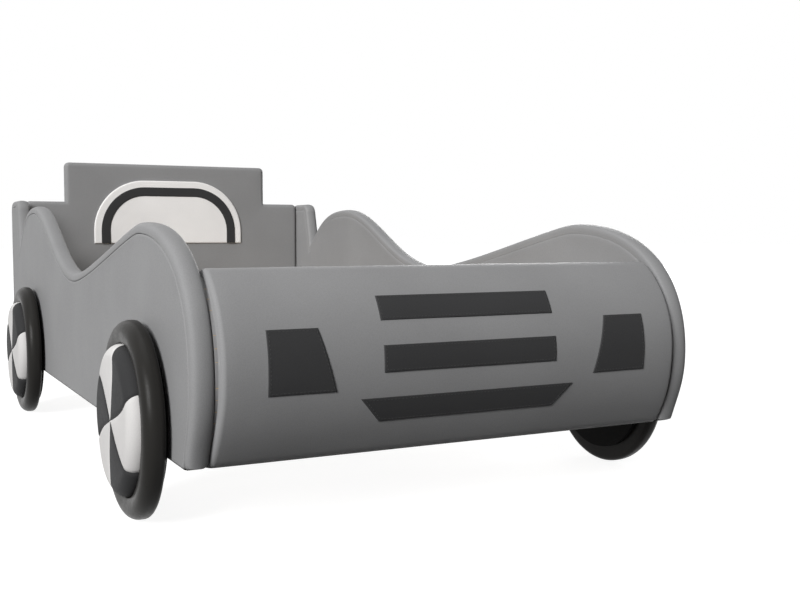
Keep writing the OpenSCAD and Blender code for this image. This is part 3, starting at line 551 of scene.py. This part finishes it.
def side_cover(side, outer):
    """The sewn cover of a side panel, on its outer or its bay face."""
    s = MIRROR[side]
    if outer:
        base, way = OUTER_X - PAD_T, 1
        y0, y1 = PATH[-1][0], PATH[0][0]
        foot = [[y0 + (y1 - y0) * k / 70, SIDE_GAP] for k in range(1, 70)]
        rings = [(0.0005, 0.0), (0.0005, 0.0066), (0.0008, 0.0078), (0.0016, 0.0087)]
        rings += [(0.0030, 0.0092), (0.0056, 0.0093), (0.0098, 0.0091)]
    else:
        base, way = INNER_X + PAD_T, -1
        length = LINING_BACK - HEAD_BOARD_Y
        foot = [
            [HEAD_BOARD_Y, SIDE_GAP],
            *[[HEAD_BOARD_Y + length * k / 60, DECK_H] for k in range(60)],
            [LINING_BACK, DECK_H],
            [LINING_BACK, SIDE_GAP],
        ]
        rings = [(0.0, 0.0), (0.0, 0.0074), (0.0003, 0.0083), (0.0011, 0.0087)]
        rings += [(0.0024, 0.0090), (0.0055, 0.0091), (0.0095, 0.0091)]
    loop = np.concatenate([PATH, foot])
    turn_h, turn_d = 0.005, 0.006
    lip, face = 0.006, rings[-1][1]
    seam_in, seam_h = 0.0052, 0.0092

    def place(a, b, h):
        a, b, h = (np.asarray(v, float) for v in (a, b, h))
        under = np.clip(1 - (b - SIDE_GAP) / turn_h, 0, 1)
        drop = turn_d * (1 - np.sqrt(1 - under**2)) * (h > 0)
        if outer:
            h = np.where((h > lip) & (h < face), face - (face - h) * seam_depth(b), h)
        return np.stack([s * (base + way * np.maximum(h - drop, 0)), a, b], 1)

    def height(a, b, d):
        p = np.stack([a, b, np.zeros(len(a))], 1)
        crown = 0.0016 * (1 - np.exp(-d / 0.05))
        soft = ripple(p, 0.11, 0.0007, 3.1 if outer else 8.7) * (1 - np.exp(-d / 0.02))
        share = near_wheel(a, b) if outer else 1
        return (crown + soft) * share - (0 if outer else 0.0012)

    verts, faces = cover(loop, rings, place, 0.017, height)
    where = "outer" if outer else "inner"
    nodes = [f"{side}_side_{where}_pad"]
    piece(f"{side}_side_{where}_cover", verts, faces, GREY, nodes)
    if outer:
        seam = PATH - seam_in * OUT
        path = place(seam[:, 0], seam[:, 1], np.full(len(seam), seam_h))
        normals = np.tile([s * way, 0, 0], (len(seam), 1))
        name = f"{side}_side_stitching"
        stitches(name, path, normals, GREY_THREAD, radius=0.0003)


def side_band(side):
    """The edge band, tucked into the seams, flatter where it faces down and slim at its feet."""
    s = MIRROR[side]
    half = (OUTER_X - INNER_X) / 2
    middle = (OUTER_X + INNER_X) / 2
    shares = np.linspace(0, 1, 401)
    lip, flat_d, flat_h, reach = 0.0030, 0.0055, 0.009, 1.8

    def front(corner):
        """Half of the band's gently curved front, from its middle round the corner."""
        slope = np.radians(24 * shares + 64 * shares**corner)
        steps = np.tan((slope[1:] + slope[:-1]) / 2) * np.diff(shares)
        fall = half * np.concatenate([[0], np.cumsum(steps)])
        places = (0.1, 0.3, 0.48, 0.64, 0.76, 0.84, 0.9, 0.94, 0.97, 0.99, 1)
        return [(half * u, BAND_D - np.interp(u, shares, fall)) for u in places]

    section = [(-half + 0.003, 0.0), (-half + 0.0006, 0.0001), (-half, lip)]
    section += [(-u, v) for u, v in reversed(front(8))]
    section += [*front(4), (half, lip)]
    lips = len(section)
    section += [(half - 0.0004, 0.0018), (half - 0.0010, 0.0010), (half - 0.0021, 0.0005)]
    section += [(half - 0.0036, 0.0003)]
    verts = []
    for i, (p, n) in enumerate(zip(PATH, OUT)):
        soft = 0.0005 * noise.noise(Vector((p[0] * 9, p[1] * 9, 4.2 * s)))
        foot = math.exp((-i if p[0] < 0 else i + 1 - len(PATH)) / reach)
        slim = 1 - 0.30 * foot * foot
        seam = seam_depth(p[1])
        for j, (u, v) in enumerate(section):
            if j >= lips:
                u = half - (half - u) * seam
            flat = flat_d * max(-n[1], 0) ** 2 * min(v / flat_h, 1)
            grow = v - flat + soft * (v / BAND_D)
            y, z = p[0] + n[0] * grow, p[1] + n[1] * grow + 0.32 * foot * grow
            verts.append((s * (middle + u * slim), y, z))
    cols = len(section)
    faces = swept_grid(len(PATH), cols, False, True)
    faces.append(tuple(range(cols - 1, -1, -1)))
    faces.append(tuple(range((len(PATH) - 1) * cols, len(PATH) * cols)))
    nodes = [f"{side}_side_edge_band"]
    piece(f"{side}_side_edge_roll", verts, faces, GREY, nodes)


for side in MIRROR:
    side_cover(side, True)
    side_cover(side, False)
    side_band(side)


# Headboard


def head_outline(foot, inset=0.0):
    """The stepped outline of the headboard."""
    w, m, r = PANEL_X - inset, SHOULDER_X - inset, 0.013 - inset
    shoulder, top = SHOULDER_Z - inset, HEAD_TOP_Z - inset
    foot += inset

    def line(a, b, steps):
        a, b = np.array(a), np.array(b)
        return [a + (b - a) * k / steps for k in range(steps)]

    points = [
        *line([-w, foot], [-w, shoulder - r], 16),
        *arc([-w + r, shoulder - r], r, 180, 90, 6),
        *line([-w + r, shoulder], [-m, shoulder], 6)[1:],
        *line([-m, shoulder], [-m, top - r], 6),
        *arc([-m + r, top - r], r, 180, 90, 6),
        *line([-m + r, top], [m - r, top], 30)[1:],
        *arc([m - r, top - r], r, 90, 0, 6),
        *line([m, top - r], [m, shoulder], 6)[1:],
        *line([m, shoulder], [w - r, shoulder], 6),
        *arc([w - r, shoulder - r], r, 90, 0, 6),
        *line([w, shoulder - r], [w, foot], 16)[1:],
        *line([w, foot], [-w, foot], 40),
    ]
    return np.array(points)


def head_front():
    def place(a, b, h):
        return np.stack([a, HEAD_BOARD_Y - h, b], 1)

    def height(a, b, d):
        p = np.stack([a, b, np.zeros(len(a))], 1)
        return 0.0022 * (1 - np.exp(-d / 0.05)) + ripple(p, 0.13, 0.0006, 1.7)

    rings = [(0.0006, 0.0)] + rounded(0.011, 0.0085, 0.009, 6, 0.0006)
    verts, faces = cover(head_outline(DECK_H + 0.001), rings, place, 0.018, height)
    nodes = ["headboard_front_pad"]
    piece("headboard_front_cover", verts, faces, GREY, nodes)


def head_rear():
    def place(a, b, h):
        return np.stack([a, HEAD_BOARD_Y + h, b], 1)

    def height(a, b, d):
        p = np.stack([a, b, np.zeros(len(a))], 1)
        return 0.002 * (1 - np.exp(-d / 0.05)) + ripple(p, 0.13, 0.0006, 5.9)

    rings = [(0.0062, 0.0148), (0.0062, 0.0004), (0.0008, 0.0004), (0.0002, 0.0012)]
    rings += rounded(0.011, 0.0095, 0.024, 6, 0.0)
    verts, faces = cover(head_outline(SIDE_GAP), rings, place, 0.018, height)
    nodes = ["headboard_back_pad"]
    piece("headboard_back_cover", verts, faces, GREY, nodes)


def arch(margin, foot, closed):
    """The rear window's outline: round shoulders over a straight foot."""
    w, h, r = 0.221 - margin, 0.184 - margin, 0.148 - margin
    parts = [
        [[-w, foot + (h - r) * k / 4] for k in range(4)],
        arc([-w + r, foot + h - r], r, 180, 90, 30),
        [[-w + r + 2 * (w - r) * k / 16, foot + h] for k in range(1, 16)],
        arc([w - r, foot + h - r], r, 90, 0, 30),
        [[w, foot + (h - r) * (1 - k / 4)] for k in range(1, 4)],
        [[w - 2 * w * k / 48, foot] for k in range(48 if closed else 1)],
    ]
    return np.concatenate(parts)


def rear_window():
    window_z, border_z, border_h = 0.415, 0.4155, 0.0062

    def place(a, b, h):
        return np.stack([a, BAY_REAR - h, b], 1)

    def on_window(a, b, h):
        return np.stack([a, BAY_REAR - border_h - h, b], 1)

    def height(a, b, d):
        return 0.0008 * (1 - np.exp(-d / 0.03))

    rings = [(0.0, 0.0), (0.0, 0.0035)] + rounded(0.003, 0.0025, 0.006, 4)[1:] + [(0.006, 0.006)]
    verts, faces = cover(arch(0.0, window_z, True), rings, place, 0.014, height)
    nodes = ["rear_window_panel"]
    piece("rear_window_cover", verts, faces, LIGHT, nodes)

    # The border is an open arch: along the outer edge, across the foot, back along the inner edge
    loop = np.concatenate([arch(0.020, border_z, False), arch(0.046, border_z, False)[::-1]])
    rings = [(0.0, 0.0), (0.0, 0.0009), (0.0004, 0.0014), (0.0014, 0.0016)]
    verts, faces = cover(loop, rings, on_window, 0.008, lambda a, b, d: 0 * a)
    nodes = ["rear_window_stripe"]
    piece("rear_window_border", verts, faces, DARK, nodes)
    for k, margin in enumerate((0.0225, 0.0435)):
        path = arch(margin, border_z, False)
        p = on_window(path[:, 0], path[:, 1], np.full(len(path), 0.0017))
        normals = np.tile([0, -1, 0], (len(p), 1))
        stitches(f"rear_window_stitching_{k}", p, normals, DARK_THREAD)


head_front()
head_rear()
rear_window()


# Front panel

PANEL_Z = 0.114
BELLY_RISE = 0.135
BELLY_Z = PANEL_Z + BELLY_RISE
LOW_R, HIGH_R, CREST_R, BACK_R = 0.214, 0.174, 0.030, 0.020
LOW_C = np.array([BELLY_Y + LOW_R, BELLY_Z])
HIGH_C = np.array([BELLY_Y + HIGH_R, BELLY_Z])
CREST_Z, BACK_Z, LINING_TOP = 0.364, 0.394, 0.3738
CREST_C = np.array(
    [HIGH_C[0] - math.sqrt((HIGH_R - CREST_R) ** 2 - (CREST_Z - BELLY_Z) ** 2), CREST_Z]
)
BACK_C = np.array([BAY_FRONT - BACK_R, BACK_Z - BACK_R])
HIGH_ANGLE = math.degrees(math.atan2(CREST_Z - BELLY_Z, HIGH_C[0] - CREST_C[0]))


def panel_path(depth):
    """The panel's section at a depth under its surface, from the foot over the top to the bay."""
    low = LOW_R - depth
    start = math.degrees(math.asin(BELLY_RISE / low))
    return np.concatenate(
        [
            arc(LOW_C, low, 180 + start, 180, 22)[:-1],
            arc(HIGH_C, HIGH_R - depth, 180, 180 - HIGH_ANGLE, 26)[:-1],
            arc(CREST_C, CREST_R - min(depth, 0.028), 180 - HIGH_ANGLE, 90, 8),
            arc(BACK_C, BACK_R - min(depth, 0.018), 90, 0, 10),
        ]
    )


def sunk(z):
    """The cover hangs 1.5 mm under the panel's boards."""
    return z - 0.0015 * min(max(1 - (z - PANEL_Z) / 0.03, 0), 1)


def front_cover():
    """The sewn cover of the bulging panel, swept from end to end."""
    surface, under, deep = panel_path(0.0), panel_path(0.012), panel_path(0.042)
    radius, fall, skin = 0.009, 0.0085, 0.0115
    turn_h, turn_d, tuck_d = 0.0035, 0.004, 0.0050
    turns = (0, 9, 18, 28, 38, 48, 58, 68, 79, 90)
    left = [-FRONT_X + radius * (1 - math.cos(math.radians(a))) for a in turns]
    middle = list(np.linspace(-FRONT_X + radius, FRONT_X - radius, 44))[1:-1]
    stations = [(x, under) for x in left + middle + [-x for x in reversed(left)]]
    # The cover wraps the ends of the bent skin and of the outer ribs
    wrap = [(FRONT_X + 0.00062, deep), (FRONT_X + 0.0002, deep), (FRONT_X + 0.00018, under)]
    stations = [(-x, p) for x, p in wrap] + stations + [(x, p) for x, p in reversed(wrap)]
    n = len(surface)
    out = unit(surface - under)
    verts = []
    for x, bottom in stations:
        near = max(min(FRONT_X - abs(x), radius), 0.0)
        depth = fall * (1 - math.sqrt(max(1 - (1 - near / radius) ** 2, 0)))
        depth += max(abs(x) - FRONT_X, 0.0)
        soft = ripple([(x, p[0], p[1]) for p in surface], 0.12, 0.0006, 2.3) * (near / radius)
        top = surface - out * depth + out * soft[:, None]
        foot = np.clip(1 - (top[:, 1] - PANEL_Z) / turn_h, 0, 1)
        top = top - out * (min(turn_d, skin - depth) * (1 - np.sqrt(1 - foot**2)))[:, None]
        tuck = tuck_d * np.clip((top[:, 1] - PANEL_Z) / 0.10, 0, 1) * (abs(x) / FRONT_X) ** 8
        verts += [(x - math.copysign(t, x), p[0], sunk(p[1])) for p, t in zip(top, tuck)]
        verts += [(x, p[0], sunk(p[1])) for p in bottom[::-1]]
    faces = swept_grid(len(stations), 2 * n, False, True)
    for base in (0, (len(stations) - 1) * 2 * n):
        for i in range(n - 1):
            j = 2 * n - 1 - i
            faces.append((base + i, base + i + 1, base + j - 1, base + j))
    piece("front_cover", verts, faces, GREY, ["front_pad"])


def front_lining():
    """The flat pad on the panel's bay face."""
    w, z0, z1 = FRONT_X, DECK_H + 0.0005, LINING_TOP
    corners = [(-w, z0), (-w, z1), (w, z1), (w, z0)]
    loop = []
    for a, b, steps in zip(corners, corners[1:] + corners[:1], (8, 44, 8, 44)):
        loop += [[a[c] + (b[c] - a[c]) * k / steps for c in (0, 1)] for k in range(steps)]

    def place(a, b, h):
        return np.stack([a, LINING_BACK + h, b], 1)

    def height(a, b, d):
        p = np.stack([a, b, np.zeros(len(a))], 1)
        return 0.0004 * (1 - np.exp(-d / 0.03)) + ripple(p, 0.1, 0.0004, 6.6)

    rings = [(0.0003, 0.0)] + rounded(0.005, 0.005, 0.012, 5, 0.0003)
    verts, faces = cover(loop, rings, place, 0.018, height)
    piece("front_lining_cover", verts, faces, GREY, ["front_lining"])


PROFILE = panel_path(0.0)
PROFILE_OUT = unit(PROFILE - panel_path(0.012))
PROFILE_S = np.concatenate([[0], np.cumsum(np.linalg.norm(np.diff(PROFILE, axis=0), axis=1))])


def on_panel(x, s, h):
    """Points at a height h over the panel, s along its section."""
    y, z = (np.interp(s, PROFILE_S, PROFILE[:, c]) for c in (0, 1))
    n = unit(np.stack([np.interp(s, PROFILE_S, PROFILE_OUT[:, c]) for c in (0, 1)], 1))
    return np.stack([x, y + n[:, 0] * h, z + n[:, 1] * h], 1)


def patch(name, corners, node_name):
    """A flat patch sewn on the panel, inside corners in x and z seen from the front."""
    rising = slice(0, int(np.argmax(PROFILE[:, 1])) + 1)
    loop = []
    for (x0, z0), (x1, z1) in zip(corners, corners[1:] + corners[:1]):
        steps = max(2, int(math.hypot(x1 - x0, z1 - z0) / 0.007))
        for k in range(steps):
            x, z = x0 + (x1 - x0) * k / steps, z0 + (z1 - z0) * k / steps
            loop.append((x, np.interp(PANEL_Z + z, PROFILE[rising, 1], PROFILE_S[rising])))
    loop = np.array(loop)
    rings = [(0.0, -0.0004), (0.0, 0.0010), (0.0004, 0.0016), (0.0013, 0.0019), (0.0024, 0.0019)]

    def height(a, b, d):
        return 0.0004 * (1 - np.exp(-d / 0.012))

    verts, faces = cover(loop, rings, on_panel, 0.0095, height)
    piece(name + "_patch", verts, faces, DARK, [node_name])
    turned = loop if area2(loop) > 0 else loop[::-1]
    line = turned + 0.0035 * outward(turned, True)
    line = np.concatenate([line, line[:1]])
    p = on_panel(line[:, 0], line[:, 1], np.full(len(line), 0.0021))
    q = on_panel(line[:, 0], line[:, 1], np.full(len(line), 0.0121))
    stitches(name + "_stitching", p, unit(q - p), DARK_THREAD)


def bar(top, foot, low, high):
    """The corners of a grille bar."""
    return [(-foot / 2, low), (-top / 2, high), (top / 2, high), (foot / 2, low)]


front_cover()
front_lining()
patch("grille_top", bar(0.308, 0.308, 0.202, 0.237), "grille_bar_top")
patch("grille_middle", bar(0.308, 0.308, 0.126, 0.166), "grille_bar_middle")
patch("grille_bottom", bar(0.380, 0.312, 0.051, 0.088), "grille_bar_bottom")
for side, s in MIRROR.items():
    lamp = [(s * 0.230, 0.102), (s * 0.256, 0.195), (s * 0.335, 0.195), (s * 0.335, 0.102)]
    patch(f"lamp_{side}", lamp, f"headlamp_{side}")


# Wheels

HUB_R, HUB_FACE, DISC_FACE, HUB_EDGE, DISC_R = 0.118, 0.497, 0.453, 0.020, 0.126
PLAY = 0.0006
SWIRL = math.radians(10)
TURN = math.radians(103)


def tyre(side, end):
    """A stuffed ring: round on its face, drawn in at the hub."""
    s, y0 = MIRROR[side], WHEELS[end]
    crown, top, r, fall = 0.136, 0.041, 0.019, 0.045
    heel, heel_r, foot = (0.147, 0.0165), 0.008, 0.0085
    inner = HUB_R + PLAY
    disc = DISC_FACE + PLAY - OUTER_X
    section = [(inner, disc), (inner, 0.0325), (inner + 0.0004, 0.0350)]
    for radius in np.linspace(inner + 0.0014, crown, 12)[:-1]:
        tuck = 0.0012 * math.exp(-((radius - inner) / 0.0018) ** 2)
        section.append((radius, top - fall + math.sqrt(fall**2 - (crown - radius) ** 2) - tuck))
    for a in np.radians(np.linspace(90, 0, 14)):
        section.append((crown + r * math.cos(a), top - r + r * math.sin(a)))
    section += [(crown + r, 0.0190)]
    for a in np.radians(np.linspace(0, -90, 7)):
        section.append((heel[0] + heel_r * math.cos(a), heel[1] + heel_r * math.sin(a)))
    section += [(0.137, foot), (DISC_R + PLAY, foot), (DISC_R + PLAY, disc)]
    steps = 144
    verts = []
    for i in range(steps):
        a = 2 * math.pi * i / steps
        c, q = math.cos(a), math.sin(a)
        for j, (radius, depth) in enumerate(section):
            pull = math.exp(-((radius - inner) / 0.004) ** 2) if 1 <= j <= 13 else 0
            soft = 0.0002 * pull * math.sin(36 * a + 0.6 * math.sin(5 * a))
            soft += 0.0003 * noise.noise(Vector((c * 6, q * 6, radius * 40 + y0)))
            d = depth + (soft if 1 <= j <= 24 else 0)
            verts.append((s * (OUTER_X + d), y0 + radius * c, WHEEL_R + radius * q))
    faces = swept_grid(steps, len(section), True, True)
    nodes = [f"{end}_{side}_tyre"]
    piece(f"{end}_{side}_tyre_cover", verts, faces, TYRE, nodes)


def hub_profile(t):
    """Radius, height over the disc and normal along the hub's section, out from its middle."""
    flat = HUB_R - HUB_EDGE
    turn = HUB_EDGE * math.pi / 2
    top = HUB_FACE - DISC_FACE
    total = flat + turn + top - HUB_EDGE
    s = t * total
    if s <= flat:
        dome = 0.0015 * math.cos(math.pi / 2 * s / flat) ** 1.3
        return s, top + dome, (0.02 * s / flat, 1.0)
    if s <= flat + turn:
        a = (s - flat) / HUB_EDGE
        c, q = math.cos(a), math.sin(a)
        return flat + HUB_EDGE * q, top - HUB_EDGE * (1 - c), (q, c)
    return HUB_R, top - HUB_EDGE - (s - flat - turn), (1.0, 0.0)


def hub_gores(side, end, dark):
    """The three dark or the three light gores of a hub's swirl."""
    s, y0 = MIRROR[side], WHEELS[end]
    rows = [0.012, 0.03, 0.06, 0.1, 0.15, 0.22, 0.3, 0.38, 0.46, 0.53, 0.59, 0.63]
    rows += list(np.linspace(0.655, 0.86, 12)) + [0.9, 0.95, 1.0]
    edge = [0.0, 0.008, 0.02, 0.04, 0.075, 0.13]
    cols = edge + list(np.linspace(0.13, 0.87, 9))[1:-1] + [1 - e for e in reversed(edge)]
    verts, faces = [], []
    for k in range(3):
        first = TURN + (0 if dark else math.pi / 3) + 2 * math.pi / 3 * k
        for layer in (0, 1):
            for t in rows:
                r, h, (nr, nh) = hub_profile(t)
                for u in cols:
                    a = first - SWIRL * (r / HUB_R) ** 3 + u * math.pi / 3
                    away = min(u, 1 - u) * math.pi / 3 * r
                    dip = 0.0017 * math.exp(-((away / 0.0026) ** 2)) * min(1, r / 0.010)
                    puff = 0.0010 * math.sin(math.pi * u) * min(1, r / 0.05)
                    lift = (puff - dip) if layer == 0 else -0.0027
                    trim = 0.00015 / max(r, 0.002) * (1 if u == 0 else -1 if u == 1 else 0)
                    rr, hh = r + nr * lift, h + nh * lift
                    x = s * (DISC_FACE + max(hh, 0.0003))
                    y, z = y0 + rr * math.cos(a + trim), WHEEL_R + rr * math.sin(a + trim)
                    verts.append((x, y, z))
        n, m = len(rows), len(cols)
        base = 2 * k * n * m
        for i in range(n - 1):
            for j in range(m - 1):
                q = base + i * m + j
                faces.append((q, q + 1, q + m + 1, q + m))
                q += n * m
                faces.append((q + m, q + m + 1, q + 1, q))
        rim = [base + j for j in range(m)]
        rim += [base + i * m + m - 1 for i in range(1, n)]
        rim += [base + (n - 1) * m + j for j in range(m - 2, -1, -1)]
        rim += [base + i * m for i in range(n - 2, 0, -1)]
        for a, b in zip(rim, rim[1:] + rim[:1]):
            faces.append((b, a, a + n * m, b + n * m))
    tone = "dark" if dark else "light"
    nodes = [f"{end}_{side}_hub_{tone}_gores"]
    if not dark:
        nodes.append(f"{end}_{side}_hub_foam")
    name, slot = f"{end}_{side}_hub_{tone}_cover", f"{tone}_leatherette"
    material = HUB_DARK if dark else HUB_LIGHT
    piece(name, verts, faces, material, nodes, sharp=55)


for side in MIRROR:
    for end in WHEELS:
        tyre(side, end)
        hub_gores(side, end, True)
        hub_gores(side, end, False)


# Finish of the CAD nodes that stay

WOOD_X = ["front_back_board", "headboard_board", "front_bent_skin", "front_ribs"]
PINE_ACROSS = ["slats", "head_cleat", "foot_cleat", "front_top_batten", "front_bottom_batten"]
METAL = ["wheel_bolts", "wheel_tee_nuts", "corner_brackets"]
METAL += ["bracket_screws", "rail_screws", "cleat_screws", "slat_screws"]
for name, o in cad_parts.items():
    if o.hide_render:
        continue
    if name in METAL:
        m = STEEL
    elif name in PINE_ACROSS:
        m = PINE_X
    elif name.endswith("bearer_rail"):
        m = PINE_Y
    elif name.endswith("wheel_disc"):
        m = BLACK_PLY
    elif name in WOOD_X:
        m = PLY_X
    elif name.endswith("foam"):
        m = FOAM
    else:
        m = PLY
    o.data.materials.clear()
    o.data.materials.append(m)
    if name in PINE_ACROSS or name.endswith("bearer_rail"):
        bevel = o.modifiers.new("eased edges", "BEVEL")
        bevel.width = 0.0018
        bevel.segments = 3
        bevel.limit_method = "ANGLE"
        bevel.angle_limit = math.radians(60)


# Floor, light and camera


def seen_rays(tree):
    """1 for the rays that see the background: from the camera, in a gloss and through glass."""
    ray = node(tree, "ShaderNodeLightPath")
    either = node(tree, "ShaderNodeMath", operation="MAXIMUM")
    any_of = node(tree, "ShaderNodeMath", operation="MAXIMUM")
    tree.links.new(ray.outputs["Is Camera Ray"], either.inputs[0])
    tree.links.new(ray.outputs["Is Glossy Ray"], either.inputs[1])
    tree.links.new(either.outputs[0], any_of.inputs[0])
    tree.links.new(ray.outputs["Is Transmission Ray"], any_of.inputs[1])
    return any_of.outputs[0]


def floor_material():
    """Near white with a faint shadow where it is seen, darker for light that bounces off it."""
    m = bpy.data.materials.new("floor")
    m.use_nodes = True
    tree = m.node_tree
    tree.nodes.remove(tree.nodes["Principled BSDF"])
    link = tree.links.new
    where = node(tree, "ShaderNodeTexCoord").outputs["Object"]
    away = node(tree, "ShaderNodeVectorMath", operation="LENGTH")
    link(where, away.inputs[0])
    reach = node(tree, "ShaderNodeMapRange", From_Min=1.2, From_Max=5.0, To_Min=0.90, To_Max=1.0)
    link(away.outputs["Value"], reach.inputs["Value"])
    glow = node(tree, "ShaderNodeEmission", Color=(1, 1, 1, 1))
    link(reach.outputs["Result"], glow.inputs["Strength"])
    shade = node(tree, "ShaderNodeBsdfDiffuse", Color=(0.34, 0.34, 0.34, 1))
    seen = node(tree, "ShaderNodeAddShader")
    link(glow.outputs[0], seen.inputs[0])
    link(shade.outputs[0], seen.inputs[1])
    bounced = node(tree, "ShaderNodeBsdfDiffuse", Color=(0.08, 0.08, 0.08, 1))
    mix = node(tree, "ShaderNodeMixShader")
    link(seen_rays(tree), mix.inputs[0])
    link(bounced.outputs[0], mix.inputs[1])
    link(seen.outputs[0], mix.inputs[2])
    link(mix.outputs[0], tree.nodes["Material Output"].inputs["Surface"])
    return m


bpy.ops.mesh.primitive_plane_add(size=60, location=(0, 0, -0.0002))
floor = bpy.context.object
floor.name = "floor"
floor.data.materials.append(floor_material())

world = bpy.data.worlds.new("studio")
bpy.context.scene.world = world
world.use_nodes = True
tree = world.node_tree
sky = tree.nodes["Background"]
sky.inputs["Color"].default_value = (1, 1, 1, 1)
sky.inputs["Strength"].default_value = 0.08
white = node(tree, "ShaderNodeBackground", Color=(1, 1, 1, 1), Strength=1.0)
mix = node(tree, "ShaderNodeMixShader")
tree.links.new(seen_rays(tree), mix.inputs[0])
tree.links.new(sky.outputs[0], mix.inputs[1])
tree.links.new(white.outputs[0], mix.inputs[2])
tree.links.new(mix.outputs[0], tree.nodes["World Output"].inputs["Surface"])


def lamp(name, place, target, size, power):
    """A softbox that faces its target."""
    data = bpy.data.lights.new(name, "AREA")
    data.shape = "RECTANGLE"
    data.size, data.size_y = size
    data.energy = power
    o = bpy.data.objects.new(name, data)
    bpy.context.scene.collection.objects.link(o)
    o.location = place
    o.rotation_euler = (Vector(target) - Vector(place)).to_track_quat("-Z", "Y").to_euler()
    return o


lamp("top softbox", (-0.6, -0.4, 3.6), (0, 0, 0.3), (3.0, 3.0), 34)
lamp("key softbox", (-12.6, -8.4, 7.5), (0, -0.3, 0.3), (7.2, 7.2), 3250)
lamp("rear softbox", (8.6, 8.6, 3.6), (0, 0, 0.3), (6.0, 6.0), 900)

# The camera that was fitted to the photo
camera_data = bpy.data.cameras.new("camera")
camera_data.lens = 47.29
camera_data.sensor_width = 36
camera_data.clip_end = 200
camera = bpy.data.objects.new("camera", camera_data)
bpy.context.scene.collection.objects.link(camera)
camera.location = (-0.8435, -2.2632, 0.4442)
yaw, pitch = math.radians(27.51), math.radians(3.63)
level = math.cos(pitch)
forward = Vector((math.sin(yaw) * level, math.cos(yaw) * level, -math.sin(pitch)))
camera.rotation_euler = forward.to_track_quat("-Z", "Y").to_euler()
bpy.context.scene.camera = camera
bpy.context.scene.view_settings.view_transform = "Standard"
